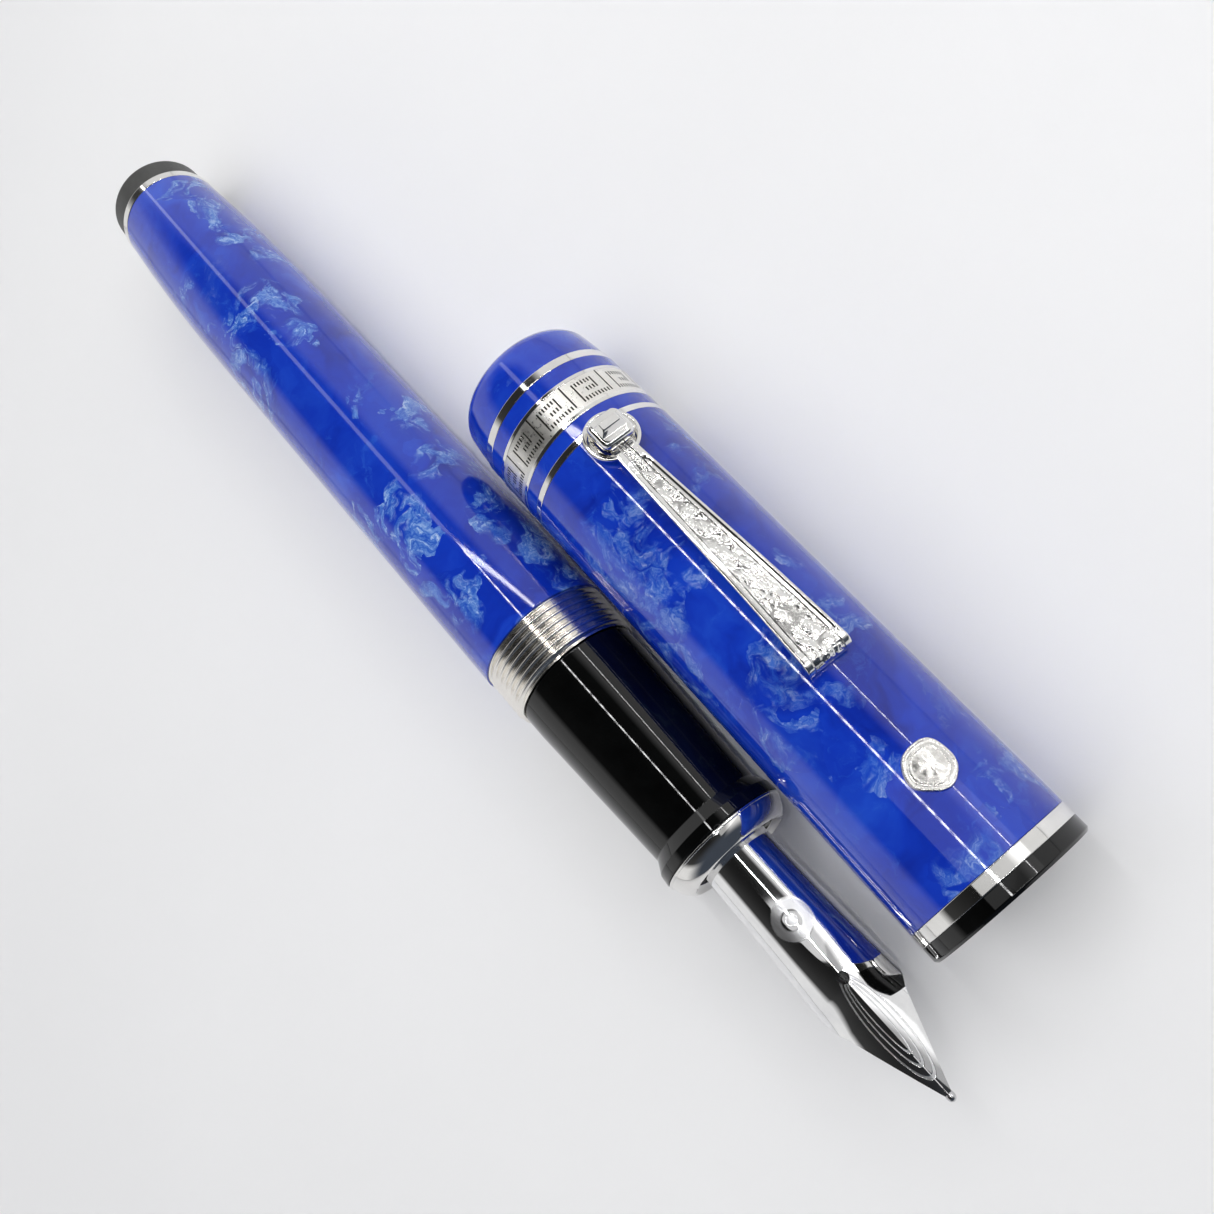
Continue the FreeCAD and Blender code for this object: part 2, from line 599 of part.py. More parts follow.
def clip_plan(name, inset):
    """The clip seen from above: neck widening to a square end."""
    return extruded(name, False, [
        ("neck_station - 0.5*neck_half", f"neck_half - {inset}"),
        ("clip_end - " + inset, f"clip_half - {inset}"),
        ("clip_end - " + inset, f"{inset} - clip_half"),
        ("neck_station - 0.5*neck_half", f"{inset} - neck_half"),
    ], "4*clip_span")


def cylinder(name, radius, length, along, spot):
    """A round rod; along is 'Y' or 'Z', and spot gives its start."""
    rod = doc.addObject("Part::Cylinder", name)
    bind(rod, "Radius", radius)
    bind(rod, "Height", length)
    if along == "Y":
        turn = FreeCAD.Rotation(FreeCAD.Vector(1, 0, 0), -90)
        rod.Placement = FreeCAD.Placement(FreeCAD.Vector(0, 0, 0), turn)
    for letter, text in zip("xyz", spot):
        if text:
            bind(rod, "Placement.Base." + letter, text)
    return rod


def block(name, size, spot):
    """A rectangular block."""
    box = doc.addObject("Part::Box", name)
    for prop, text in zip(("Length", "Width", "Height"), size):
        bind(box, prop, text)
    for letter, text in zip("xyz", spot):
        bind(box, "Placement.Base." + letter, text)
    return box


def build_clip():
    """The clip: round eye, widening blade with raised rims, folded end and roller ears."""
    blade = boolean("Part::Common", "clip_blade", side_band("blade_side", "0*clip_span",
                    "clip_thickness"), clip_plan("blade_plan", "0*clip_span"))
    panel = boolean("Part::Common", "panel_tool", side_band("panel_side", "-1*panel_depth",
                    "2*panel_depth"), clip_plan("panel_plan", "panel_inset"))
    eye = cylinder("eye_disc", "eye_radius", "clip_thickness", "Z",
                   ("eye_station", None, "eye_low"))
    joined = boolean("Part::Fuse", "eye_and_blade", blade, eye)
    joined = boolean("Part::Cut", "panelled", joined, panel)
    fold = block("fold_block", ("clip_end - fold_start", "2*clip_half",
                 "blade_rise - fold_low + 0.5*clip_thickness"),
                 ("fold_start", "-1*clip_half", "fold_low"))
    joined = boolean("Part::Fuse", "folded", joined, fold)
    for name, side in (("near", "-1*ear_half - ear_width"), ("far", "ear_half")):
        ear = block("ear_" + name, ("fold_start - ear_start", "ear_width",
                    "ear_high - ear_low"), ("ear_start", side, "ear_low"))
        joined = boolean("Part::Fuse", "with_ear_" + name, joined, ear)
    hole = cylinder("eye_bore", "eye_hole", "2*clip_thickness", "Z",
                    ("eye_station", None, "eye_low - 0.5*clip_thickness"))
    joined = boolean("Part::Cut", "bored", joined, hole)
    pin_hole = cylinder("axle_hole", "axle_radius", "2*clip_span", "Y",
                        ("axle_station", "-1*clip_span", "axle_height"))
    keep(boolean("Part::Cut", "clip", joined, pin_hole))
    keep(cross_bar("roller_axle", "2*axle_half", ["axle_radius"]))
    keep(cross_bar("clip_roller", "2*roller_half", ["roller_radius", "roller_bore"]))


def cross_bar(name, length, radii):
    """A bar or wheel across the clip on the roller's axis; a second radius bores it."""
    body = new_body(name)
    sketch = new_sketch(body, "XZ_Plane")
    for radius in radii:
        draw_circle(sketch, ("axle_station", "axle_height"), radius)
    pad = body.newObject("PartDesign::Pad", name + "_pad")
    pad.Profile = sketch
    pad.Midplane = True
    bind(pad, "Length", length)
    return body


def rounded_block(sketch, long, wide, corner):
    """A rectangle with round corners about the clip eye."""
    left, right = f"eye_station - {long}", f"eye_station + {long}"
    low, high = f"-1*{wide}", wide
    draw_outline(sketch, [
        (left, f"{low} + {corner}"),
        (left, f"{high} - {corner}", corner, 1), (f"{left} + {corner}", high),
        (f"{right} - {corner}", high, corner, 1), (right, f"{high} - {corner}"),
        (right, f"{low} + {corner}", corner, 1), (f"{right} - {corner}", low),
        (f"{left} + {corner}", low, corner, 1),
    ])


def build_knob_and_seal():
    """The stepped knob that holds the clip, and the round seal near the mouth."""
    body = new_body("clip_knob")
    raise_pad(body, "post_low", "post_height",
              lambda s: draw_circle(s, ("eye_station", None), "post_radius"))
    raise_pad(body, "head_low", "head_height",
              lambda s: rounded_block(s, "head_long", "head_wide", "head_round"))
    raise_pad(body, "head_low + head_height", "bar_height",
              lambda s: rounded_block(s, "bar_long", "bar_wide", "bar_round"), -22.0)
    keep(body)
    coin = cylinder("seal_coin", "disc_radius", "disc_high - disc_low", "Z",
                    ("seal_station", None, "disc_low"))
    curve = doc.addObject("Part::Cylinder", "seal_curve")
    bind(curve, "Radius", "disc_crown")
    bind(curve, "Height", "4*disc_radius")
    curve.Placement = FreeCAD.Placement(FreeCAD.Vector(0, 0, 0),
                                        FreeCAD.Rotation(FreeCAD.Vector(0, 1, 0), 90))
    bind(curve, "Placement.Base.x", "seal_station - 2*disc_radius")
    keep(boolean("Part::Common", "seal_disc", coin, curve))


def lie_down():
    """Lay the pen and its cap on the table about the middle of their joint footprint."""
    along_x, about_z = FreeCAD.Vector(1, 0, 0), FreeCAD.Vector(0, 0, 1)
    length = amount("tipping_station + tipping_radius")
    yaw = math.radians(amount("cap_yaw"))
    far = amount("cap_across") + amount("metal_radius") * math.cos(yaw)
    far += amount("band_start") * math.sin(yaw)
    middle = FreeCAD.Vector(length / 2.0, (far - amount("belly_radius")) / 2.0, 0)
    pen_spot = FreeCAD.Vector(0, 0, amount("belly_radius")) - middle
    pen = FreeCAD.Placement(pen_spot, FreeCAD.Rotation(along_x, amount("nib_roll")))
    cap_spot = FreeCAD.Vector(amount("cap_along"), amount("cap_across"), amount("metal_radius"))
    turn = FreeCAD.Rotation(about_z, amount("cap_yaw"))
    turn = turn.multiply(FreeCAD.Rotation(along_x, amount("clip_roll")))
    cap = FreeCAD.Placement(cap_spot - middle, turn)
    for label, thing in parts.items():
        frame = cap if label in CAP_PARTS else pen
        thing.Placement = frame.multiply(thing.Placement)
    doc.recompute()


CAP_PARTS = (
    "cap_crown", "crown_ring", "upper_spacer", "key_band", "lower_spacer", "clip_ring",
    "cap_tube", "lip_band", "cap_lip", "inner_liner", "clip", "roller_axle",
    "clip_roller", "clip_knob", "seal_disc",
)


def check():
    """Stop on a failed feature or a sub-part that isn't one good solid."""
    for thing in doc.Objects:
        if "Invalid" in thing.State or "Error" in thing.State:
            raise RuntimeError(f"{thing.Name} is {thing.State}")
    for label, thing in parts.items():
        shape = thing.Shape
        if shape.isNull() or not shape.isValid() or len(shape.Solids) != 1:
            raise RuntimeError(f"{label}: {len(shape.Solids)} solids, valid {shape.isValid()}")


def export():
    """Write each sub-part to its own file."""
    os.makedirs("parts", exist_ok=True)
    for label, thing in parts.items():
        thing.Shape.exportStep(f"parts/{label}.step")


add_nib_sizes()
fill_sheet()
build_tail()
build_barrel()
build_filler()
build_collar()
build_grip()
build_feed()
build_nib()
build_cap_head()
build_cap_tube()
build_clip()
build_knob_and_seal()
doc.recompute()
lie_down()
check()
export()
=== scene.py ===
import json
import math

import bpy
from mathutils import Matrix, Vector, noise


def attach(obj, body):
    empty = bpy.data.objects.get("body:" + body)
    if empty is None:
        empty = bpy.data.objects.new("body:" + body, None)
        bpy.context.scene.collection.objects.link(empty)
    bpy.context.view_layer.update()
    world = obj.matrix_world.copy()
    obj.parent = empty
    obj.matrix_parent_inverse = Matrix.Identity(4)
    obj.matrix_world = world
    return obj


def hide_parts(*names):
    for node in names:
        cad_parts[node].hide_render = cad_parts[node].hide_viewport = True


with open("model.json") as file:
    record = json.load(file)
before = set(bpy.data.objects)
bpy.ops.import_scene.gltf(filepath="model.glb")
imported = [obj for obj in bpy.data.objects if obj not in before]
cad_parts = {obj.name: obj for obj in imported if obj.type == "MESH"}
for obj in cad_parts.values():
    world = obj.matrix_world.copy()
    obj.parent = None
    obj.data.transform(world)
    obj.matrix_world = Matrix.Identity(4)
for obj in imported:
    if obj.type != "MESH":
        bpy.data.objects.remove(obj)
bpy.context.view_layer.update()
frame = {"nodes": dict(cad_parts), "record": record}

MM = 0.001
ROUND = 224          # sides of a turned piece
RECORD = frame["record"]
MOUNTS = {m["name"]: m for m in RECORD["mounts"]}
NODES = frame["nodes"]


# ---------------------------------------------------------------- frames

class Local:
    """A local frame in millimetres: x along a pen or cap axis, z away from it."""

    def __init__(self, origin, along, up):
        along = Vector(along).normalized()
        up = Vector(up)
        up = (up - along * up.dot(along)).normalized()
        side = up.cross(along)
        self.turn = Matrix((along, side, up)).transposed()
        self.origin = Vector(origin)

    def at(self, x, y=0.0, z=0.0):
        return self.origin + self.turn @ (Vector((x, y, z)) * MM)


SOCKET_STATION = 51.15   # where along the cap the record puts its socket mount
EYE_STATION = 15.9       # centre of the clip's eye and of the knob
ROLLER_STATION, ROLLER_HEIGHT = 41.6, 8.5
SEAL_STATION = 54.5
CAP_RADIUS, CAP_METAL = 7.99, 8.018
BARREL_RADIUS = 7.1
tail = Vector(MOUNTS["tail_face"]["pos_m"])
point = Vector(MOUNTS["nib_point"]["pos_m"])
pen_axis = -Vector(MOUNTS["tail_face"]["axis"])
nib_up = point - tail - pen_axis * (point - tail).dot(pen_axis)
PEN = Local(tail, pen_axis, nib_up)
cap_axis = Vector(MOUNTS["cap_socket"]["axis"])
cap_origin = Vector(MOUNTS["cap_socket"]["pos_m"]) - cap_axis * SOCKET_STATION * MM
CAP = Local(cap_origin, cap_axis, MOUNTS["pocket_clip"]["axis"])


# ---------------------------------------------------------------- mesh making


def new_piece(name, vertices, faces, body, nodes, material, sharp=35.0):
    """A mesh object in the row frame that rides a body and stands for CAD nodes."""
    mesh = bpy.data.meshes.new(name)
    mesh.from_pydata([tuple(v) for v in vertices], [], faces)
    mesh.update()
    mesh.validate()
    for polygon in mesh.polygons:
        polygon.use_smooth = True
    mesh.set_sharp_from_angle(angle=math.radians(sharp))
    piece = bpy.data.objects.new(name, mesh)
    bpy.context.scene.collection.objects.link(piece)
    mesh.materials.append(material)
    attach(piece, body)
    if nodes:
        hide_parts(*nodes)
    return piece


def soften(corners, closed):
    """Round each corner (x, r, radius) of an outline and add a loop beside each bend."""
    count = len(corners)
    points = []
    for i, corner in enumerate(corners):
        here = Vector(corner[:2])
        radius = corner[2] if len(corner) > 2 else 0.0
        inside = closed or 0 < i < count - 1
        if not inside or radius <= 0.0:
            points.append(here)
            continue
        back = Vector(corners[i - 1][:2]) - here
        ahead = Vector(corners[(i + 1) % count][:2]) - here
        turn = back.angle(ahead, math.pi)
        if turn > 3.05:
            points.append(here)
            continue
        trim = min(radius / math.tan(turn / 2), 0.42 * back.length, 0.42 * ahead.length)
        start = here + back.normalized() * trim
        end = here + ahead.normalized() * trim
        run_in = here + back.normalized() * min(trim * 1.35, 0.47 * back.length)
        run_out = here + ahead.normalized() * min(trim * 1.35, 0.47 * ahead.length)
        points.append(run_in)
        for step in range(6):
            t = step / 5
            points.append(start * (1 - t) ** 2 + here * 2 * t * (1 - t) + end * t ** 2)
        points.append(run_out)
    return points


def lathe(name, local, corners, body, nodes, material, closed=True, sides=ROUND,
          axis_z=False, centre=(0.0, 0.0), across=False, sharp=35.0):
    """A turned piece from an outline of (station, radius, corner radius) in millimetres.

    axis_z turns it about z through centre (x, y); across turns it about y through centre (x, z).
    """
    outline = soften(corners, closed)
    vertices = []
    rings = []
    for x, r in outline:
        ring = []
        if r < 1e-6:
            spots = [(x, 0.0, 0.0)]
        else:
            angles = [2 * math.pi * k / sides for k in range(sides)]
            spots = [(x, r * math.sin(a), r * math.cos(a)) for a in angles]
        for spot in spots:
            if axis_z:
                place = (centre[0] + spot[1], centre[1] + spot[2], spot[0])
            elif across:
                place = (centre[0] + spot[1], spot[0], centre[1] + spot[2])
            else:
                place = spot
            ring.append(len(vertices))
            vertices.append(local.at(*place))
        rings.append(ring)
    faces = []
    pairs = list(zip(rings, rings[1:])) + ([(rings[-1], rings[0])] if closed else [])
    for low, high in pairs:
        if len(low) == 1 and len(high) == 1:
            continue
        for k in range(sides):
            n = (k + 1) % sides
            if len(low) == 1:
                faces.append((low[0], high[n], high[k]))
            elif len(high) == 1:
                faces.append((low[k], low[n], high[0]))
            else:
                faces.append((low[k], low[n], high[n], high[k]))
    if axis_z or across:
        faces = [f[::-1] for f in faces]
    return new_piece(name, vertices, faces, body, nodes, material, sharp)


def grid_faces(rows, columns, wrap=False, flip=False):
    """Quads of a grid of rows by columns."""
    faces = []
    last = columns if wrap else columns - 1
    for i in range(rows - 1):
        for j in range(last):
            n = (j + 1) % columns
            quad = (i * columns + j, i * columns + n, (i + 1) * columns + n, (i + 1) * columns + j)
            faces.append(quad[::-1] if flip else quad)
    return faces


# ---------------------------------------------------------------- material helpers

class Shader:
    """A node material, with short ways to add and link nodes."""

    def __init__(self, name):
        self.material = bpy.data.materials.new(name)
        self.material.use_nodes = True
        self.nodes = self.material.node_tree.nodes
        self.links = self.material.node_tree.links
        self.surface = self.nodes["Principled BSDF"]
        coordinates = self.add("ShaderNodeTexCoord")
        scale = self.add("ShaderNodeVectorMath", operation="SCALE")
        self.links.new(coordinates.outputs["Object"], scale.inputs[0])
        scale.inputs["Scale"].default_value = 1000.0
        self.mm = scale.outputs[0]

    def add(self, kind, **settings):
        node = self.nodes.new(kind)
        for key, setting in settings.items():
            setattr(node, key, setting)
        return node

    def set(self, **sockets):
        for key, setting in sockets.items():
            self.surface.inputs[key.replace("_", " ")].default_value = setting

    def noise(self, scale, detail=4.0, rough=0.5, distortion=0.0, vector=None):
        node = self.add("ShaderNodeTexNoise")
        self.links.new(vector or self.mm, node.inputs["Vector"])
        node.inputs["Scale"].default_value = scale
        node.inputs["Detail"].default_value = detail
        node.inputs["Roughness"].default_value = rough
        node.inputs["Distortion"].default_value = distortion
        return node

    def voronoi(self, scale, vector=None, feature="F1", randomness=1.0):
        node = self.add("ShaderNodeTexVoronoi", feature=feature)
        self.links.new(vector or self.mm, node.inputs["Vector"])
        node.inputs["Scale"].default_value = scale
        node.inputs["Randomness"].default_value = randomness
        return node

    def stretch(self, factors, vector=None):
        node = self.add("ShaderNodeVectorMath", operation="MULTIPLY")
        self.links.new(vector or self.mm, node.inputs[0])
        node.inputs[1].default_value = factors
        return node.outputs[0]

    def math(self, operation, a, b=None, clamp=False):
        node = self.add("ShaderNodeMath", operation=operation, use_clamp=clamp)
        for socket, value in zip(node.inputs, (a, b)):
            if value is None:
                continue
            if isinstance(value, (int, float)):
                socket.default_value = value
            else:
                self.links.new(value, socket)
        return node.outputs[0]

    def span(self, value, low, high, to_low=0.0, to_high=1.0, smooth=True):
        node = self.add("ShaderNodeMapRange")
        if smooth:
            node.interpolation_type = "SMOOTHSTEP"
        self.links.new(value, node.inputs["Value"])
        for key, setting in (("From Min", low), ("From Max", high),
                             ("To Min", to_low), ("To Max", to_high)):
            node.inputs[key].default_value = setting
        return node.outputs["Result"]

    def ramp(self, value, stops):
        node = self.add("ShaderNodeValToRGB")
        self.links.new(value, node.inputs["Fac"])
        elements = node.color_ramp.elements
        while len(elements) < len(stops):
            elements.new(0.5)
        for element, (position, colour) in zip(elements, stops):
            element.position = position
            element.color = (*colour, 1.0)
        return node.outputs["Color"]

    def mix(self, factor, a, b):
        node = self.add("ShaderNodeMix", data_type="RGBA")
        for socket, value in ((node.inputs[0], factor), (node.inputs[6], a), (node.inputs[7], b)):
            if isinstance(value, (int, float)):
                socket.default_value = value
            elif isinstance(value, tuple):
                socket.default_value = (*value, 1.0)
            else:
                self.links.new(value, socket)
        return node.outputs[2]

    def warp(self, base, colour, amount):
        """The vector base, pushed about by a noise colour."""
        node = self.add("ShaderNodeVectorMath", operation="MULTIPLY_ADD")
        self.links.new(colour, node.inputs[0])
        node.inputs[1].default_value = (amount, amount, amount)
        self.links.new(base, node.inputs[2])
        return node.outputs[0]

    def local(self, local, *axes):
        """Millimetres along the chosen axes of a local frame."""
        place = self.add("ShaderNodeVectorMath", operation="SUBTRACT")
        self.links.new(self.mm, place.inputs[0])
        place.inputs[1].default_value = local.origin / MM
        parts = []
        for axis in axes:
            dot = self.add("ShaderNodeVectorMath", operation="DOT_PRODUCT")
            self.links.new(place.outputs[0], dot.inputs[0])
            dot.inputs[1].default_value = local.turn.col[axis]
            parts.append(dot.outputs["Value"])
        return parts

    def bump(self, height, distance, strength=1.0, over=None):
        node = self.add("ShaderNodeBump")
        node.inputs["Strength"].default_value = strength
        node.inputs["Distance"].default_value = distance * MM
        self.links.new(height, node.inputs["Height"])
        if over:
            self.links.new(over, node.inputs["Normal"])
        return node.outputs["Normal"]

    def feed(self, socket, output):
        self.links.new(output, self.surface.inputs[socket])


# ---------------------------------------------------------------- materials


def make_resin(name, fewer, strength):
    """Royal blue resin with darker drifts and pearly, feathered chips."""
    s = Shader(name)
    drift = s.noise(0.13, 3.0, 0.55)
    warp = s.warp(s.mm, drift.outputs["Color"], 9.0)
    fine = s.noise(0.55, 3.0, 0.6)
    ripple = s.warp(warp, fine.outputs["Color"], 2.2)
    chips = s.voronoi(0.17, ripple)
    tone = s.add("ShaderNodeSeparateColor")
    s.links.new(chips.outputs["Color"], tone.inputs[0])
    deep = s.noise(0.10, 4.0, 0.6, 0.6, warp)
    base = s.ramp(deep.outputs["Fac"], [
        (0.30, (0.003, 0.014, 0.24)), (0.48, (0.005, 0.034, 0.42)), (0.70, (0.014, 0.072, 0.54))])
    shade = s.span(tone.outputs[2], 0.0, 1.0, 0.0, 0.55)
    base = s.mix(shade, base, (0.003, 0.024, 0.36))
    wisps = s.noise(0.85, 7.0, 0.68, 1.4, ripple)
    feather = s.ramp(wisps.outputs["Fac"], [
        (0.34, (0.014, 0.060, 0.44)), (0.45, (0.045, 0.14, 0.52)), (0.54, (0.12, 0.25, 0.60)),
        (0.63, (0.32, 0.46, 0.72)), (0.74, (0.72, 0.80, 0.88))])
    pearly = s.span(tone.outputs[0], fewer, fewer + 0.06, 0.0, strength)
    rim = s.span(chips.outputs["Distance"], 0.50, 0.74, 1.0, 0.0)
    patch = s.span(s.noise(0.30, 3.0, 0.6, 0.8, warp).outputs["Fac"], 0.44, 0.58)
    chip = s.math("MULTIPLY", s.math("MULTIPLY", pearly, rim), patch)
    colour = s.mix(chip, base, feather)
    soft = s.span(s.noise(0.22, 5.0, 0.7, 1.0, ripple).outputs["Fac"], 0.56, 0.74,
                  0.0, 0.55)
    colour = s.mix(soft, colour, (0.03, 0.12, 0.55))
    s.feed("Base Color", colour)
    wear = s.noise(6.0, 3.0, 0.6)
    s.feed("Roughness", s.span(wear.outputs["Fac"], 0.35, 0.75, 0.045, 0.085))
    hair = s.noise(3.0, 5.0, 0.75, 0.0, s.stretch((0.08, 1.0, 1.0)))
    s.feed("Normal", s.bump(hair.outputs["Fac"], 0.002, 0.25))
    s.set(IOR=1.50, Coat_Weight=0.35, Coat_Roughness=0.02)
    return s.material


def make_metal(name, colour, rough, scratch=0.5):
    """Plated metal with a soft cloud of wear and hairline scratches."""
    s = Shader(name)
    s.set(Metallic=1.0)
    cloud = s.noise(0.45, 5.0, 0.6)
    s.feed("Base Color", s.ramp(cloud.outputs["Fac"], [
        (0.30, tuple(c * 0.90 for c in colour)), (0.72, colour)]))
    haze = s.noise(2.5, 6.0, 0.7)
    s.feed("Roughness", s.span(haze.outputs["Fac"], 0.35, 0.75, rough, rough * 2.1))
    lines = s.noise(5.0, 6.0, 0.8, 0.0, s.stretch((0.12, 1.6, 1.6)))
    s.feed("Normal", s.bump(lines.outputs["Fac"], 0.003 * scratch, 0.3))
    return s.material


def make_plastic(name, colour, rough, grain, spread=0.02):
    """Black plastic: gloss or satin, with a fine grain and uneven polish."""
    s = Shader(name)
    cloud = s.noise(0.5, 5.0, 0.6)
    lighter = tuple(min(1.0, c * 1.8 + 0.0005) for c in colour)
    s.feed("Base Color", s.ramp(cloud.outputs["Fac"], [(0.35, colour), (0.8, lighter)]))
    polish = s.noise(4.0, 5.0, 0.65)
    s.feed("Roughness", s.span(polish.outputs["Fac"], 0.3, 0.75, rough, rough + spread))
    dust = s.noise(9.0, 3.0, 0.6)
    s.feed("Normal", s.bump(dust.outputs["Fac"], grain, 0.3))
    s.set(IOR=1.5)
    return s.material


def make_rubber():
    """Dull latex with a powdery bloom."""
    s = Shader("sac_rubber")
    bloom = s.noise(1.4, 6.0, 0.7)
    s.feed("Base Color", s.ramp(bloom.outputs["Fac"], [
        (0.35, (0.018, 0.018, 0.019)), (0.75, (0.06, 0.058, 0.055))]))
    s.feed("Roughness", s.span(bloom.outputs["Fac"], 0.3, 0.8, 0.55, 0.85))
    s.feed("Normal", s.bump(bloom.outputs["Fac"], 0.02, 0.4))
    return s.material


def make_feed():
    """Moulded ebonite-like feed: satin black with turning marks."""
    s = Shader("feed_ebonite")
    marks = s.noise(7.0, 3.0, 0.6, 0.0, s.stretch((3.0, 0.2, 0.2)))
    s.feed("Base Color", s.ramp(marks.outputs["Fac"], [
        (0.3, (0.010, 0.010, 0.011)), (0.8, (0.028, 0.027, 0.027))]))
    s.feed("Roughness", s.span(marks.outputs["Fac"], 0.3, 0.8, 0.28, 0.45))
    s.feed("Normal", s.bump(marks.outputs["Fac"], 0.01, 0.4))
    return s.material


RESIN = make_resin("marbled_blue_resin", 0.60, 0.92)
CAP_RESIN = make_resin("calm_blue_resin", 0.60, 0.50)
SILVER = make_metal("polished_plating", (0.86, 0.85, 0.83), 0.045)
BAND = make_metal("engraved_plating", (0.90, 0.88, 0.84), 0.26, 1.0)
THREAD = make_metal("thread_plating", (0.93, 0.90, 0.85), 0.11, 0.15)
SEAL = make_metal("seal_plating", (0.78, 0.76, 0.73), 0.19, 0.6)
TIPPING = make_metal("tipping_alloy", (0.66, 0.66, 0.67), 0.16)
TUBE = make_metal("drawn_tube", (0.62, 0.61, 0.60), 0.22, 1.5)
GLOSS_BLACK = make_plastic("gloss_black_resin", (0.0010, 0.0011, 0.0011), 0.035, 0.001)
SATIN_BLACK = make_plastic("satin_black_resin", (0.034, 0.034, 0.033), 0.42, 0.006, 0.12)
LINER = make_plastic("liner_plastic", (0.030, 0.030, 0.032), 0.42, 0.006, 0.1)
RUBBER = make_rubber()
EBONITE = make_feed()


# ---------------------------------------------------------------- pen pieces


def ring_piece(name, local, start, end, outer, inner, body, material, edge=0.08):
    """A trim ring or spacer with softly broken edges."""
    corners = [(start, inner), (start, outer, edge), (end, outer, edge), (end, inner)]
    return lathe(name, local, corners, body, [name], material)


def arc_points(start, end, radius, bulge, steps):
    """Points from start to end along an arc; bulge +1 keeps the centre on the right."""
    a, b = Vector(start), Vector(end)
    chord = b - a
    half = chord.length / 2
    height = math.sqrt(radius * radius - half * half)
    left = Vector((-chord.y, chord.x)).normalized()
    centre = (a + b) / 2 - left * bulge * height
    first = math.atan2(a.y - centre.y, a.x - centre.x)
    last = math.atan2(b.y - centre.y, b.x - centre.x)
    if last - first > math.pi:
        last -= 2 * math.pi
    if first - last > math.pi:
        last += 2 * math.pi
    angles = [first + (last - first) * k / steps for k in range(steps + 1)]
    return [(centre.x + radius * math.cos(t), centre.y + radius * math.sin(t)) for t in angles]


def dress(node, material):
    """Give a carried-over CAD node its finish."""
    mesh = NODES[node].data
    mesh.materials.clear()
    mesh.materials.append(material)


def build_tail():
    """Tail knob with its slightly domed end, and the ring ahead of it."""
    corners = [(0.10, 0.0), (0.02, 4.6), (0.0, 5.2, 0.5), (0.35, 5.86, 0.5), (3.35, 6.0, 0.12),
               (3.35, 4.30), (9.0, 4.30, 0.2), (9.0, 3.66), (1.6, 3.66), (1.6, 0.0)]
    lathe("tail_knob_turned", PEN, corners, "knob", ["tail_knob"], SATIN_BLACK)
    ring_piece("tail_trim_ring", PEN, 3.40, 4.40, 6.23, 4.8, "barrel", SILVER)


def build_barrel():
    """Barrel with its tapered tail, straight belly and a crisp front edge."""
    taper = arc_points((4.45, 6.2), (27.0, BARREL_RADIUS), 284.0, 1, 40)
    corners = [(3.4, 4.36), (3.4, 4.8), (4.42, 4.8), (4.42, 6.17), *taper,
               *[(x, BARREL_RADIUS) for x in (35, 45, 55, 65, 75, 79.4)],
               (80.08, BARREL_RADIUS, 0.10),
               (80.08, 6.1), (73.0, 6.1), (73.0, 4.75), (14.0, 4.75), (14.0, 4.36)]
    lathe("barrel_resin", PEN, corners, "barrel", ["barrel"], RESIN)


def thread_radius(phase, crest, root):
    """Rounded thread profile for a phase from 0 to 1."""
    wave = 0.5 + 0.5 * math.cos(2 * math.pi * phase)
    return root + (crest - root) * (wave ** 0.75)


def build_collar():
    """The collar with its real helical thread."""
    start, end, pitch, crest, root = 80.10, 85.40, 0.78, 6.97, 6.56
    rows, columns = 150, 240
    vertices = []
    for i in range(rows):
        x = start + (end - start) * i / (rows - 1)
        for k in range(columns):
            share = k / columns
            phase = (x - start) / pitch - share
            r = thread_radius(phase, crest, root)
            ends = min((x - start) / 0.25, (end - x) / 0.35, 1.0)
            flat = crest - 0.06 if x - start < 0.3 else root + 0.12
            r = r * ends + flat * (1 - ends)
            angle = 2 * math.pi * share
            vertices.append(PEN.at(x, r * math.sin(angle), r * math.cos(angle)))
    faces = grid_faces(rows, columns, wrap=True, flip=True)
    inner = []
    for x, r in ((end, 5.0), (73.0, 5.0), (73.0, 6.08), (80.10, 6.08)):
        for k in range(columns):
            angle = 2 * math.pi * k / columns
            inner.append(PEN.at(x, r * math.sin(angle), r * math.cos(angle)))
    base = len(vertices)
    vertices += inner
    loops = [(rows - 1) * columns, base, base + columns, base + 2 * columns,
             base + 3 * columns, 0]
    for low, high in zip(loops, loops[1:]):
        for k in range(columns):
            n = (k + 1) % columns
            faces.append((low + n, low + k, high + k, high + n))
    new_piece("thread_collar_helix", vertices, faces, "barrel", ["thread_collar"],
              THREAD, 40.0)


def build_grip():
    """Grip section: long cone, flared end, then the polished ring around the nib."""
    corners = [(76.0, 4.0), (76.0, 4.93, 0.2), (85.45, 4.93), (85.45, 6.50, 0.16),
               (88.0, 6.47), (92.0, 6.30), (96.0, 6.13), (100.0, 5.95), (104.0, 5.78, 0.25),
               (105.25, 6.44, 0.10), (106.22, 6.52, 0.10), (106.33, 6.46, 0.04),
               (106.33, 4.95), (103.5, 4.95),
               (103.5, 4.25), (90.0, 4.25), (90.0, 3.0), (84.1, 3.0), (84.1, 4.0)]
    lathe("grip_resin", PEN, corners, "grip", ["grip_section"], GLOSS_BLACK)
    nose = arc_points((106.66, 6.33), (108.32, 5.32), 2.9, 1, 14)
    corners = [(103.6, 4.36), (103.6, 4.9), (106.36, 4.9), (106.36, 6.40, 0.03),
               (106.46, 6.49, 0.08), (106.62, 6.46, 0.08), *nose,
               (108.39, 5.05, 0.06), (108.05, 4.62, 0.1), (107.9, 4.36, 0.05)]
    lathe("grip_ring_polished", PEN, corners, "grip", ["grip_front_ring"],
          SILVER)


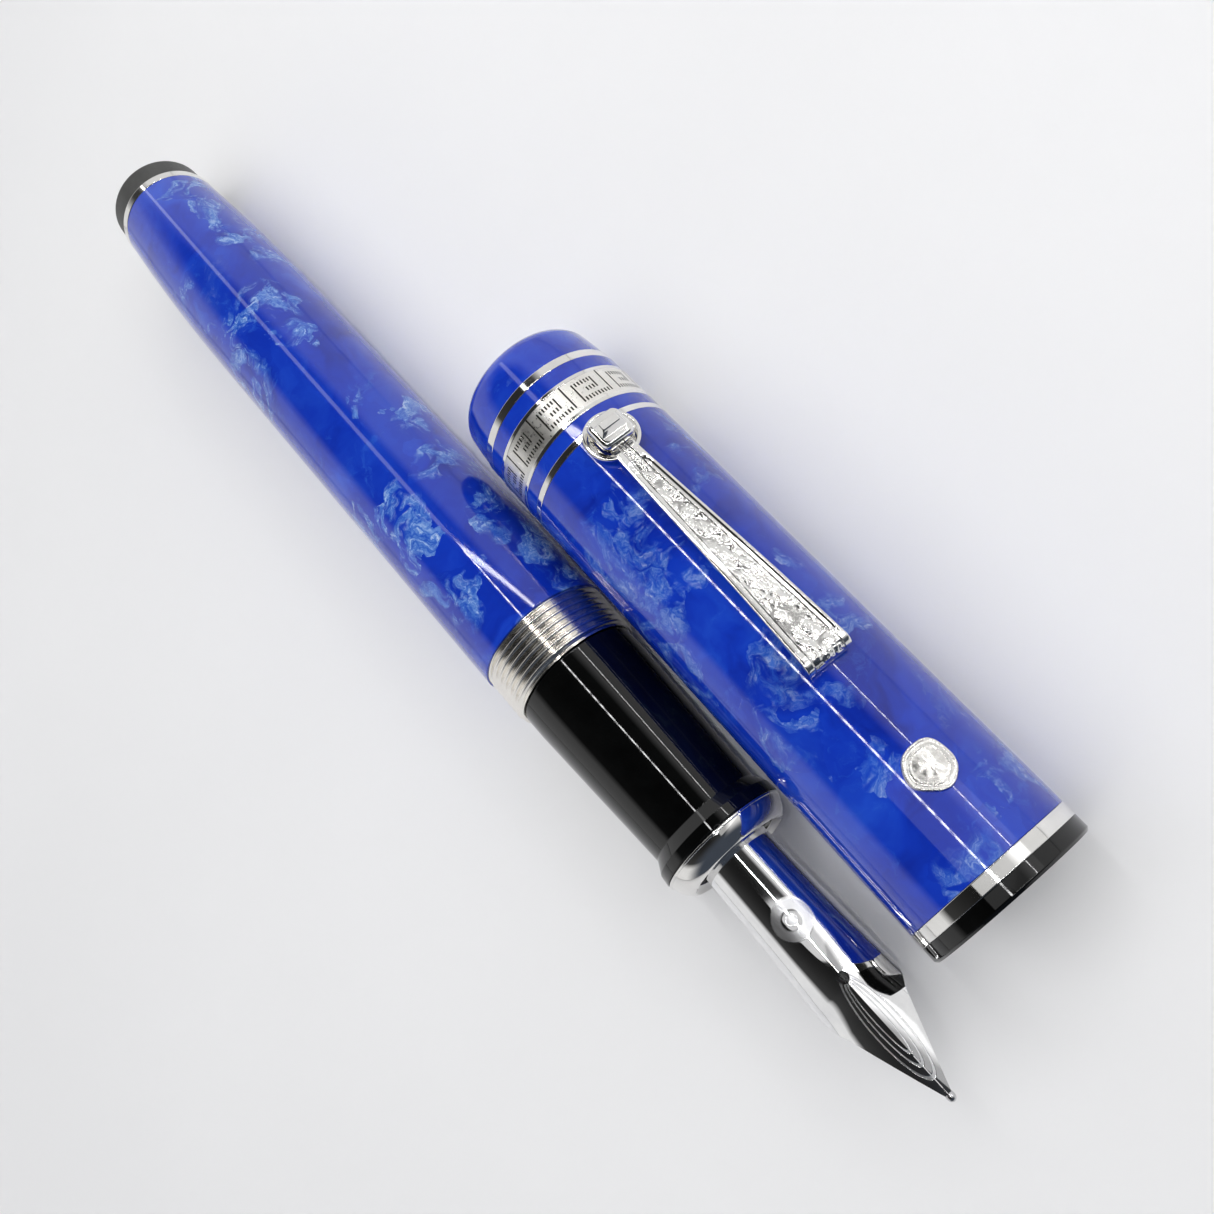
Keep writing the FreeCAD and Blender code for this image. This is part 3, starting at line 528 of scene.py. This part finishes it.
def build_nib_unit():
    """Housing and feed; the nib itself is made in build_nib."""
    corners = [(90.2, 0.85), (90.2, 4.2, 0.2), (107.5, 4.2, 0.15), (107.5, 3.72, 0.05),
               (91.2, 3.72), (91.2, 0.85)]
    lathe("nib_housing_turned", PEN, corners, "nib_unit", ["nib_housing"],
          EBONITE)
    for node, material in (("breather_tube", TUBE), ("feed", EBONITE)):
        dress(node, material)


def smooth_step(t):
    t = max(0.0, min(1.0, t))
    return t * t * (3 - 2 * t)


NIB_SECTIONS = [
    (92.0, 3.65, 3.65, 3.45), (108.0, 3.65, 3.65, 3.45), (117.0, 3.62, 3.85, 3.70),
    (122.5, 3.35, 4.10, 3.95), (128.0, 2.42, 4.10, 3.95), (134.4, 1.18, 3.90, 3.75),
]
HEART, HEART_RADIUS = 121.7, 0.55
NIB_END, SKIN = 133.25, 0.42
CREASE = 0.45


def nib_shape(x):
    """Top height and arc radius at a station, blended between the sections."""
    rows = NIB_SECTIONS
    for k in range(len(rows) - 1):
        if x <= rows[k + 1][0]:
            break
    p0, p1 = rows[max(k - 1, 0)], rows[k]
    p2, p3 = rows[k + 1], rows[min(k + 2, len(rows) - 1)]
    gap = p2[0] - p1[0]
    t = (x - p1[0]) / gap
    values = []
    for column in (1, 2):
        m1 = (p2[column] - p0[column]) / max(p2[0] - p0[0], 1e-6) * gap
        m2 = (p3[column] - p1[column]) / max(p3[0] - p1[0], 1e-6) * gap
        if k == 0:
            m1 = m2 = 0.0
        values.append((2 * t ** 3 - 3 * t ** 2 + 1) * p1[column] + (t ** 3 - 2 * t ** 2 + t) * m1
                      + (-2 * t ** 3 + 3 * t ** 2) * p2[column] + (t ** 3 - t ** 2) * m2)
    return values


def nib_half(x):
    """Half width of the nib's plan: parallel base, rounded shoulders, straight taper."""
    base = 3.45 + 0.47 * smooth_step((x - 108.0) / 14.0)
    if x < 122.3:
        return base
    corner = arc_points((122.3, 3.92), (125.3, 3.26), 3.6, 1, 24)
    for a, b in zip(corner, corner[1:]):
        if x <= b[0]:
            return a[1] + (b[1] - a[1]) * (x - a[0]) / (b[0] - a[0])
    t = (x - 125.3) / (NIB_END - 125.3)
    return 3.26 * (1 - t) + 0.34 * t


def nib_gap(x):
    """Half width of the slit, opening into the round heart hole."""
    reach = HEART_RADIUS ** 2 - (x - HEART) ** 2
    hole = math.sqrt(reach) if reach > 0 else 0.0
    slit = 0.035 if x >= HEART else 0.0
    return max(hole, slit)


def nib_stations():
    """Stations along the nib, close together at the hole and shoulders."""
    stations = [92.0 + 0.8 * k for k in range(36)]
    stations += [HEART - HEART_RADIUS * math.cos(math.pi * k / 16) for k in range(17)]
    stations += [122.3 + 0.15 * k for k in range(74)]
    stations = sorted(s for s in stations if s <= NIB_END - 0.05)
    kept = [stations[0]]
    for s in stations[1:]:
        if s - kept[-1] > 0.02:
            kept.append(s)
    return kept + [NIB_END]


def build_nib():
    """Two halves of rolled sheet, joined behind the heart hole and split by the slit."""
    stations = nib_stations()
    across = 26
    vertices, faces = [], []
    for side in (1, -1):
        base = len(vertices)
        for skin in (0.0, SKIN):
            for x in stations:
                top, arc = nib_shape(x)
                skin_here = skin * (1.0 - 0.35 * smooth_step((x - 124.0) / 9.0))
                half, gap = nib_half(x), nib_gap(x)
                low = math.asin(min(gap / arc, 1.0))
                high = math.asin(min(half / arc, 0.999))
                fold = CREASE * smooth_step((x - 117.0) / 9.0)
                drop = arc * (1.0 - math.cos(high))
                for j in range(across + 1):
                    a = low + (high - low) * j / across
                    r = arc - skin_here
                    share = math.sin(a) / math.sin(high)
                    round_z = top - arc + r * math.cos(a)
                    flat_z = top - skin_here - drop * share
                    z = round_z * (1 - fold) + flat_z * fold
                    vertices.append(PEN.at(x, side * r * math.sin(a), z))
        columns = across + 1
        count = len(stations) * columns
        outer = grid_faces(len(stations), columns, flip=side < 0)
        faces += [tuple(v + base for v in f) for f in outer]
        faces += [tuple(v + base + count for v in f[::-1]) for f in outer]

        def wall(indices):
            for a, b in zip(indices, indices[1:]):
                quad = (a + base, a + base + count, b + base + count, b + base)
                faces.append(quad if side > 0 else quad[::-1])

        last = len(stations) - 1
        wall([i * columns + across for i in range(last, -1, -1)])
        wall([i * columns for i in range(last + 1) if stations[i] >= HEART - HEART_RADIUS - 0.3])
        wall([last * columns + j for j in range(columns)])
        wall([j for j in range(columns - 1, -1, -1)])
    piece = new_piece("nib_rolled", vertices, faces, "nib_unit", ["nib"],
                      make_nib_steel(), 30.0)
    weld = piece.modifiers.new("weld", "WELD")
    weld.merge_threshold = 0.00001
    drop = [(132.7, 0.0), (132.75, 0.20), (133.1, 0.34), (133.4, 0.42), (133.65, 0.41),
            (133.85, 0.31), (133.955, 0.17), (133.99, 0.0)]
    tip = Local(PEN.at(0, 0, 1.02), pen_axis, nib_up)
    bead_mesh = lathe("nib_tipping_bead", tip, drop, "nib_unit", ["nib_tipping"],
                      TIPPING, closed=False, sides=32, sharp=80.0)
    smooth = bead_mesh.modifiers.new("smooth", "SUBSURF")
    smooth.levels = smooth.render_levels = 2


def make_nib_steel():
    """Mirror steel with an engraved roundel, plain, and leaf lines on the tines."""
    s = Shader("engraved_nib_steel")
    s.set(Metallic=1.0)
    along, side = s.local(PEN, 0, 1)
    side = s.math("ABSOLUTE", side)

    def band(value, centre, width):
        off = s.math("ABSOLUTE", s.math("SUBTRACT", value, centre))
        return s.span(off, width * 0.5, width, 1.0, 0.0)

    def ellipse(x0, y0, rx, ry):
        dx = s.math("DIVIDE", s.math("SUBTRACT", along, x0), rx)
        dy = s.math("DIVIDE", s.math("SUBTRACT", side, y0), ry)
        return s.math("SQRT", s.math("ADD", s.math("POWER", dx, 2.0), s.math("POWER", dy, 2.0)))

    marks = [band(ellipse(115.7, 0.0, 1.35, 1.35), 1.0, 0.46),
             band(ellipse(126.6, 0.0, 5.0, 1.30), 1.0, 0.05),
             band(ellipse(126.2, 0.0, 4.2, 0.85), 1.0, 0.06),
             band(ellipse(125.7, 0.0, 3.4, 0.48), 1.0, 0.08)]
    marks.append(s.span(ellipse(115.7, 0.0, 0.52, 0.52), 0.85, 1.0, 1.0, 0.0))
    total = marks[0]
    for mark in marks[1:]:
        total = s.math("MAXIMUM", total, mark)
    frost = s.noise(14.0, 3.0, 0.7)
    etched = s.math("MULTIPLY", total, s.span(frost.outputs["Fac"], 0.2, 0.7, 0.6, 1.0))
    cloud = s.noise(0.5, 4.0, 0.6)
    steel = s.ramp(cloud.outputs["Fac"], [(0.3, (0.80, 0.80, 0.81)), (0.7, (0.90, 0.90, 0.90))])
    s.feed("Base Color", s.mix(etched, steel, (0.78, 0.78, 0.79)))
    s.feed("Roughness", s.span(etched, 0.0, 1.0, 0.05, 0.45, smooth=False))
    lines = s.noise(5.0, 5.0, 0.8, 0.0, s.stretch((0.12, 1.6, 1.6)))
    fine = s.bump(lines.outputs["Fac"], 0.001, 0.25)
    s.feed("Normal", s.bump(s.math("SUBTRACT", 1.0, total), 0.02, 0.5, fine))
    return s.material


# ---------------------------------------------------------------- cap pieces


def build_cap_rings():
    """Crown, trim rings, spacers and lip of the cap."""
    dome = arc_points((0.0, 5.4), (1.9, 7.54), 2.6, 1, 12)
    corners = [(-0.0, 0.0), (0.0, 3.0), (0.0, 5.0), *dome, (3.6, 7.72), (5.29, 7.86, 0.06),
               (5.29, 6.6), (14.9, 6.6), (14.9, 5.9), (3.2, 5.9), (3.2, 0.0)]
    lathe("cap_crown_domed", CAP, corners, "cap", ["cap_crown"], CAP_RESIN)
    ring_piece("crown_ring", CAP, 5.31, 6.22, 7.94, 6.6, "cap", SILVER)
    ring_piece("upper_spacer", CAP, 6.23, 7.87, 7.93, 6.6, "cap", CAP_RESIN, 0.04)
    ring_piece("lower_spacer", CAP, 11.99, 13.45, 7.98, 6.6, "cap", CAP_RESIN, 0.04)
    ring_piece("clip_ring", CAP, 13.46, 14.14, CAP_METAL, 6.6, "cap", SILVER)
    ring_piece("lip_band", CAP, 62.54, 63.79, CAP_METAL, 7.45, "cap", SILVER)
    corners = [(58.1, 7.05), (58.1, 7.43), (63.8, 7.43), (63.8, 7.98, 0.04),
               (65.05, 7.97, 0.2), (65.3, 7.74, 0.08), (65.3, 7.32, 0.1), (65.0, 7.06, 0.05)]
    for turn in range(6):
        high = 63.8 - 0.8 * turn
        corners += [(high, 7.05), (high - 0.22, 7.24), (high - 0.44, 7.24), (high - 0.6, 7.05)]
    lathe("cap_lip_threaded", CAP, corners, "cap", ["cap_lip"], GLOSS_BLACK)
    corners = [(9.6, 0.0), (9.6, 5.85, 0.2), (15.4, 5.85), (15.4, 7.22, 0.1), (37.0, 7.22, 0.2),
               (37.0, 5.2, 0.3), (10.6, 5.2), (10.6, 0.0)]
    lathe("inner_liner_cup", CAP, corners, "cap", ["inner_liner"], LINER)


def build_cap_tube():
    """The cap's resin tube."""
    corners = [(14.15, 6.6), (14.15, 7.98, 0.05),
               *[(x, CAP_RADIUS) for x in (18, 25, 35, 45, 55, 61)],
               (62.52, 7.98, 0.06), (62.52, 7.45), (58.1, 7.45), (58.1, 7.05), (37.05, 7.05),
               (37.05, 7.26), (15.3, 7.26), (15.3, 6.6)]
    lathe("cap_tube_resin", CAP, corners, "cap", ["cap_tube"], CAP_RESIN)


KEY_UNIT = ["#######.", "#.....#.", "#.###.#.", "#.#...#.", "#.#####.", "#.......", "########"]


def build_key_band():
    """The wide band: plain rims and a running key that stands on an upright hatching."""
    start, end, rim, units, fine = 7.88, 11.98, 0.42, 12, 5
    low, high = start + rim, end - rim
    cell_rows, cell_columns = len(KEY_UNIT), units * len(KEY_UNIT[0])
    columns = cell_columns * fine
    vertices = []
    for i in range(cell_rows + 1):
        for k in range(columns):
            angle = 2 * math.pi * k / columns
            vertices.append(CAP.at(low + (high - low) * i / cell_rows,
                                   7.97 * math.sin(angle), 7.97 * math.cos(angle)))
    faces = grid_faces(cell_rows + 1, columns, wrap=True, flip=True)
    band = new_piece("key_band_pattern", vertices, faces, "cap", [], BAND, 60.0)
    band.data.materials.append(make_hatching(units * 12))
    for number, polygon in enumerate(band.data.polygons):
        row, column = divmod(number, columns)
        mark = KEY_UNIT[row][column // fine % len(KEY_UNIT[0])]
        polygon.material_index = 0 if mark == "#" else 1
    corners = [(start, 6.6), (start, CAP_METAL, 0.07), (low, CAP_METAL, 0.06), (low, 7.86),
               (high, 7.86), (high, CAP_METAL, 0.06), (end, CAP_METAL, 0.07), (end, 6.6)]
    lathe("key_band_rims", CAP, corners, "cap", ["key_band"], SILVER)


def make_hatching(count):
    """Silver engraved with fine upright lines; the grooves carry painted shade, near-black in the
    base colour.
    """
    s = Shader("hatched_plating")
    s.set(Metallic=1.0)
    across, up = s.local(CAP, 1, 2)
    angle = s.math("ARCTAN2", across, up)
    wave = s.math("SINE", s.math("MULTIPLY", angle, float(count)))
    wear = s.noise(2.2, 4.0, 0.6)
    # groove mask for the bump; its dark end is also painted shade in the base colour, made uneven
    # by the wear noise
    cut_and_painted_shade = s.span(s.math("ADD", wave, wear.outputs["Fac"]), 0.40, 0.75, 0.0, 1.0)
    s.feed("Base Color", s.ramp(cut_and_painted_shade, [(0.0, (0.86, 0.84, 0.79)), (1.0, (0.03, 0.028, 0.024))]))
    s.feed("Roughness", s.span(wear.outputs["Fac"], 0.3, 0.7, 0.26, 0.38))
    s.feed("Normal", s.bump(cut_and_painted_shade, -0.02, 0.5))
    return s.material


def build_clip():
    """Clip: eye, neck, widening blade with raised rims, folded end and roller ears."""
    path, widths, depths = [], [], []
    samples = 90
    for k in range(samples + 1):
        x = 17.2 + (42.75 - 17.2) * k / samples
        t = (x - 17.2) / 25.55
        z = 8.32 + 0.72 * smooth_step(t * 1.25) + 0.02
        slope = math.atan(0.72 * 1.25 / 25.55 * 6 * (t * 1.25) * (1 - min(t * 1.25, 1.0)))
        path.append((x, z, slope))
        widths.append(1.15 + 1.10 * max(0.0, (x - 18.2) / (43.3 - 18.2)))
        depths.append(smooth_step((x - 19.4) / 0.9) * smooth_step((42.3 - x) / 0.5))
    bend = 0.42
    z_top = path[-1][1]
    for k in range(1, 9):
        a = math.radians(90) * k / 8
        path.append((42.75 + bend * math.sin(a), z_top - bend * (1 - math.cos(a)), -a))
        widths.append(2.25)
        depths.append(0.0)
    path.append((42.75 + bend, 8.22, -math.radians(90)))
    widths.append(2.25)
    depths.append(0.0)
    vertices, columns = [], 0
    for (x, z, angle), half, depth in zip(path, widths, depths):
        thick, rim = 0.56, 0.30
        drop = 0.17 * depth
        section = [(-1, 0.06, 0.0), (-1, 0.0, 0.06), (-1, 0.0, thick - 0.09),
                   (-1, 0.03, thick - 0.03), (-1, 0.09, thick), (-1, rim - 0.06, thick),
                   (-1, rim, thick - 0.04 * depth), (-1, rim + 0.10, thick - drop),
                   (-0.5, rim, thick - drop), (0, rim, thick - drop), (0.5, rim, thick - drop),
                   (1, rim + 0.10, thick - drop), (1, rim, thick - 0.04 * depth),
                   (1, rim - 0.06, thick), (1, 0.09, thick), (1, 0.03, thick - 0.03),
                   (1, 0.0, thick - 0.09), (1, 0.0, 0.06), (1, 0.06, 0.0)]
        columns = len(section)
        for share, inset, height in section:
            y = share * (half - inset)
            vertices.append(CAP.at(x - height * math.sin(angle), y, z + height * math.cos(angle)))
    rows = len(path)
    faces = grid_faces(rows, columns, wrap=True)
    faces.append(tuple(range(columns - 1, -1, -1)))
    faces.append(tuple((rows - 1) * columns + k for k in range(columns)))
    new_piece("clip_blade", vertices, faces, "clip", ["clip"],
              make_clip_metal(), 32.0)
    eye = [(8.30, 1.5, 0.05), (8.30, 2.45, 0.1), (8.52, 2.65, 0.15), (8.82, 2.62, 0.15),
           (8.90, 2.35, 0.1), (8.72, 2.05, 0.1), (8.66, 1.5, 0.05)]
    lathe("clip_eye", CAP, eye, "clip", [], SILVER, axis_z=True,
          centre=(EYE_STATION, 0.0), sides=128)
    for number, side in enumerate((-1, 1)):
        levels = [(8.14, 0.50, 0.19, 0.12), (8.20, 0.62, 0.21, 0.14), (9.14, 0.92, 0.21, 0.14)]
        block("clip_ear_%d" % number, levels, (41.82, side * 1.93), "clip", SILVER)
    axle = [(-2.1, 0.0), (-2.1, 0.20, 0.05), (2.1, 0.20, 0.05), (2.1, 0.0)]
    lathe("roller_axle_turned", CAP, axle, "clip", ["roller_axle"], SILVER,
          across=True, centre=(ROLLER_STATION, ROLLER_HEIGHT), sides=48)
    wheel = [(-1.62, 0.24), (-1.62, 0.42, 0.1), (-0.4, 0.42, 0.05), (-0.3, 0.38, 0.05),
             (0.3, 0.38, 0.05), (0.4, 0.42, 0.05), (1.62, 0.42, 0.1), (1.62, 0.24)]
    lathe("clip_roller_turned", CAP, wheel, "roller", ["clip_roller"], SILVER,
          across=True, centre=(ROLLER_STATION, ROLLER_HEIGHT), sides=64)


def make_clip_metal():
    """Polished plating whose sunk panel is hammered in small scales, with painted shade along the
    panel's border groove and between the scales.
    """
    s = Shader("clip_plating")
    s.set(Metallic=1.0)
    cloud = s.noise(0.45, 5.0, 0.6)
    plating = s.ramp(cloud.outputs["Fac"], [(0.30, (0.80, 0.79, 0.77)), (0.72, (0.88, 0.87, 0.85))])
    haze = s.noise(2.5, 6.0, 0.7)
    s.feed("Roughness", s.span(haze.outputs["Fac"], 0.35, 0.75, 0.05, 0.11))
    along, across = s.local(CAP, 0, 1)
    edge = s.math("ADD", s.math("MULTIPLY", along, 0.044), -0.28)
    panel = s.span(s.math("SUBTRACT", edge, s.math("ABSOLUTE", across)), 0.0, 0.15)
    wander = s.noise(0.9, 3.0, 0.6)
    bent = s.warp(s.mm, wander.outputs["Color"], 1.1)
    scales = s.voronoi(0.95, s.stretch((0.75, 1.0, 1.0), bent))
    hollow = s.math("MULTIPLY", s.span(scales.outputs["Distance"], 0.0, 0.75), panel)
    # painted shade: darker lines between the hammered scales and along the panel's border groove,
    # mixed into the base colour
    seam_shade = s.math("MULTIPLY", s.span(scales.outputs["Distance"], 0.50, 0.82, 0.0, 0.55), panel)
    groove_shade = s.math("SUBTRACT", 1.0, s.math("ABSOLUTE", s.math("SUBTRACT", panel, 0.5)))
    groove_shade = s.span(groove_shade, 0.70, 0.98, 0.0, 0.85)
    s.feed("Base Color", s.mix(s.math("MAXIMUM", groove_shade, seam_shade), plating, (0.16, 0.155, 0.145)))
    dents = s.noise(1.5, 4.0, 0.6, 0.8)
    soft = s.bump(dents.outputs["Fac"], 0.012, 0.3)
    s.feed("Normal", s.bump(hollow, -0.16, 1.0, soft))
    return s.material


def rounded_loop(half_long, half_wide, corner, steps=6):
    """Points of a rectangle with round corners, counter-clockwise."""
    points = []
    for cx, cy, first in ((1, 1, 0), (-1, 1, 90), (-1, -1, 180), (1, -1, 270)):
        for k in range(steps + 1):
            a = math.radians(first + 90 * k / steps)
            points.append((cx * (half_long - corner) + corner * math.cos(a),
                           cy * (half_wide - corner) + corner * math.sin(a)))
    return points


def block(name, levels, centre, body, material, nodes=()):
    """A stacked block: each level is (z, half length, half width, corner radius)."""
    vertices = []
    columns = 28
    for z, half_long, half_wide, corner in levels:
        for x, y in rounded_loop(half_long, half_wide, corner):
            vertices.append(CAP.at(centre[0] + x, centre[1] + y, z))
    faces = grid_faces(len(levels), columns, wrap=True)
    faces.append(tuple(range(columns - 1, -1, -1)))
    faces.append(tuple((len(levels) - 1) * columns + k for k in range(columns)))
    return new_piece(name, vertices, faces, body, list(nodes), material, 32.0)


def build_knob():
    """The stepped knob: post, cushion-shaped block, sunk ledge and raised bar."""
    levels = [(9.10, 1.30, 1.42, 0.55), (9.12, 1.40, 1.52, 0.60), (9.22, 1.54, 1.66, 0.66),
              (9.36, 1.60, 1.72, 0.70), (9.80, 1.60, 1.72, 0.70), (10.02, 1.55, 1.67, 0.68),
              (10.16, 1.44, 1.56, 0.62), (10.22, 1.30, 1.42, 0.55), (10.24, 1.16, 1.28, 0.48),
              (10.24, 0.80, 1.36, 0.14), (10.27, 0.74, 1.30, 0.14), (10.70, 0.52, 1.06, 0.13),
              (10.88, 0.46, 0.98, 0.13), (10.96, 0.38, 0.90, 0.12)]
    block("clip_knob_stepped", levels, (EYE_STATION, 0.0), "cap", SILVER, ["clip_knob"])
    post = [(7.3, 0.0), (7.3, 1.2), (9.12, 1.2), (9.12, 0.0)]
    lathe("clip_post", CAP, post, "cap", [], SILVER, axis_z=True,
          centre=(EYE_STATION, 0.0), sides=64)


def build_seal():
    """The round seal: wavy edge, two rims and a plain rosette, bent round the cap."""
    rings, spokes = 60, 180
    vertices = []
    for i in range(rings + 1):
        share = i / rings
        for k in range(spokes):
            a = 2 * math.pi * k / spokes
            edge = 2.20 + 0.07 * math.sin(3 * a + 0.6) + 0.05 * math.sin(5 * a + 2.0)
            r = share * edge
            rim = math.exp(-((share - 0.90) / 0.055) ** 2)
            inner = 0.8 * math.exp(-((share - 0.68) / 0.035) ** 2)
            petals = 0.5 + 0.5 * math.cos(6 * a)
            rose = 0.9 * petals * math.exp(-((share - 0.34) / 0.17) ** 2)
            grit = noise.noise(Vector((r * math.cos(a) * 2, r * math.sin(a) * 2, 0.0)))
            lift = 0.06 * max(rim, inner) + 0.032 * rose + 0.006 * grit
            fall = smooth_step((share - 0.93) / 0.07)
            x, y = r * math.cos(a), r * math.sin(a)
            z = math.sqrt(CAP_RADIUS ** 2 - y * y) + (0.16 + lift) * (1 - fall) - 0.10 * fall
            vertices.append(CAP.at(SEAL_STATION + x, y, min(z, 8.29)))
    faces = grid_faces(rings + 1, spokes, wrap=True)
    new_piece("seal_disc_embossed", vertices, faces, "cap", ["seal_disc"], SEAL,
              50.0)


# ---------------------------------------------------------------- setting


def build_floor():
    """A plain pale floor."""
    s = Shader("pale_floor")
    cloud = s.noise(0.012, 3.0, 0.5)
    s.feed("Base Color", s.ramp(cloud.outputs["Fac"], [
        (0.3, (0.80, 0.80, 0.81)), (0.7, (0.83, 0.83, 0.84))]))
    s.set(Roughness=0.6)
    grain = s.noise(3.0, 5.0, 0.6)
    s.feed("Normal", s.bump(grain.outputs["Fac"], 0.02, 0.15))
    reach = 1.6
    mesh = bpy.data.meshes.new("floor")
    mesh.from_pydata([(-reach, -reach, 0), (reach, -reach, 0), (reach, reach, 0),
                      (-reach, reach, 0)], [], [(0, 1, 2, 3)])
    mesh.materials.append(s.material)
    floor = bpy.data.objects.new("floor", mesh)
    bpy.context.scene.collection.objects.link(floor)


def add_light(name, spot, size, power, aim=(0.0, 0.0, 0.0), glossy=True):
    """A rectangular soft light that faces aim."""
    light = bpy.data.lights.new(name, "AREA")
    light.shape = "RECTANGLE"
    light.size, light.size_y = size
    light.energy = power
    holder = bpy.data.objects.new(name, light)
    holder.location = spot
    holder.visible_glossy = glossy
    bpy.context.scene.collection.objects.link(holder)
    direction = Vector(spot) - Vector(aim)
    holder.rotation_euler = direction.to_track_quat("Z", "Y").to_euler()
    return holder


def bead(light, count):
    """Break a strip light into a row of beads."""
    light.use_nodes = True
    nodes, links = light.node_tree.nodes, light.node_tree.links
    emission = nodes["Emission"]
    surface = nodes.new("ShaderNodeNewGeometry")
    split = nodes.new("ShaderNodeSeparateXYZ")
    links.new(surface.outputs["Parametric"], split.inputs[0])
    wave = nodes.new("ShaderNodeMath")
    wave.operation = "MULTIPLY"
    links.new(split.outputs["X"], wave.inputs[0])
    wave.inputs[1].default_value = count
    part = nodes.new("ShaderNodeMath")
    part.operation = "FRACT"
    links.new(wave.outputs[0], part.inputs[0])
    gate = nodes.new("ShaderNodeMath")
    gate.operation = "GREATER_THAN"
    links.new(part.outputs[0], gate.inputs[0])
    gate.inputs[1].default_value = 0.42
    links.new(gate.outputs[0], emission.inputs["Strength"])


def build_light():
    """A beaded ring of strips, panels, pale walls, a dark ceiling and slate ahead."""
    height = 0.30
    low_x, high_x, low_y, high_y = -0.165, 0.125, 0.082, 0.372
    strip = 0.012
    mid_x, mid_y = (low_x + high_x) / 2, (low_y + high_y) / 2
    strip_power, beads = 0.28, 44
    for name, spot, size in (
        ("strip_near", (mid_x, low_y), (high_x - low_x, strip)),
        ("strip_far", (mid_x, high_y), (high_x - low_x, strip)),
        ("strip_left", (low_x, mid_y), (strip, high_y - low_y)),
        ("strip_right", (high_x, mid_y), (strip, high_y - low_y)),
    ):
        holder = add_light(name, (*spot, height), size, strip_power, (*spot, 0.0))
        bead(holder.data, beads)
    add_light("panel_above", (0.045, 0.28, 0.32), (0.06, 0.65), 0.08, (0.045, 0.28, 0.0))
    add_light("panel_ahead", (0.16, 0.36, 0.32), (0.17, 0.48), 0.10, (0.16, 0.36, 0.0))
    add_light("streak", (-0.45, 0.075, height), (0.55, 0.035), 0.10, (-0.45, 0.075, 0.0))
    add_light("roof_fill", (-0.03, -0.14, 0.55), (0.6, 0.6), 2.18, (0.0, 0.0, 0.0), glossy=False)
    world = bpy.data.worlds.new("tent")
    bpy.context.scene.world = world
    world.use_nodes = True
    nodes, links = world.node_tree.nodes, world.node_tree.links
    background = nodes["Background"]
    where = nodes.new("ShaderNodeTexCoord")
    split = nodes.new("ShaderNodeSeparateXYZ")
    links.new(where.outputs["Generated"], split.inputs[0])
    beyond = nodes.new("ShaderNodeMath")
    beyond.operation = "MAXIMUM"
    links.new(split.outputs["Y"], beyond.inputs[0])
    beyond.inputs[1].default_value = 0.0
    lowered = nodes.new("ShaderNodeMath")
    lowered.operation = "MULTIPLY_ADD"
    links.new(beyond.outputs[0], lowered.inputs[0])
    lowered.inputs[1].default_value = -0.3
    links.new(split.outputs["Z"], lowered.inputs[2])
    ramp = nodes.new("ShaderNodeValToRGB")
    links.new(lowered.outputs[0], ramp.inputs["Fac"])
    stops = [(0.0, 0.92), (0.44, 0.90), (0.60, 0.05), (1.0, 0.012)]
    elements = ramp.color_ramp.elements
    while len(elements) < len(stops):
        elements.new(0.5)
    for element, (position, grey) in zip(elements, stops):
        element.position = position
        element.color = (grey, grey, grey, 1.0)
    ahead = nodes.new("ShaderNodeMapRange")
    ahead.interpolation_type = "SMOOTHSTEP"
    links.new(split.outputs["X"], ahead.inputs["Value"])
    ahead.inputs["From Min"].default_value = 0.35
    ahead.inputs["From Max"].default_value = 0.75
    slate = nodes.new("ShaderNodeMix")
    slate.data_type = "RGBA"
    links.new(ahead.outputs["Result"], slate.inputs[0])
    links.new(ramp.outputs["Color"], slate.inputs[6])
    slate.inputs[7].default_value = (0.060, 0.072, 0.095, 1.0)
    links.new(slate.outputs[2], background.inputs["Color"])
    background.inputs["Strength"].default_value = 0.9


def build_camera():
    """The camera looks down on the nib from ahead and beyond it."""
    camera = bpy.data.cameras.new("camera")
    camera.lens = 32.735
    camera.sensor_width = 36.0
    camera.clip_start = 0.002
    camera.clip_end = 10.0
    holder = bpy.data.objects.new("camera", camera)
    bpy.context.scene.collection.objects.link(holder)
    azimuth, height, roll = (math.radians(a) for a in (37.80, 61.185, -84.504))
    distance = 102.616
    back = Vector((math.cos(azimuth) * math.cos(height), math.sin(azimuth) * math.cos(height),
                   math.sin(height)))
    aim = Vector((17.327, -0.892, 10.0)) * MM
    level = back.to_track_quat("Z", "Y").to_matrix().to_4x4()
    holder.matrix_world = (Matrix.Translation(aim + back * distance * MM) @ level
                           @ Matrix.Rotation(roll, 4, "Z"))
    bpy.context.scene.camera = holder


build_camera()
build_floor()
build_light()
build_tail()
build_barrel()
build_collar()
build_grip()
build_nib_unit()
build_nib()
build_cap_rings()
build_cap_tube()
build_key_band()
build_clip()
build_knob()
build_seal()
for hidden, finish in (("touchdown_tube", TUBE), ("sac_guard", TUBE), ("ink_sac", RUBBER),
                       ("sac_nipple", GLOSS_BLACK), ("barrel_seal_ring", RUBBER)):
    dress(hidden, finish)

view = bpy.context.scene.view_settings
view.view_transform = "Standard"
view.look = "None"

bpy.context.view_layer.update()
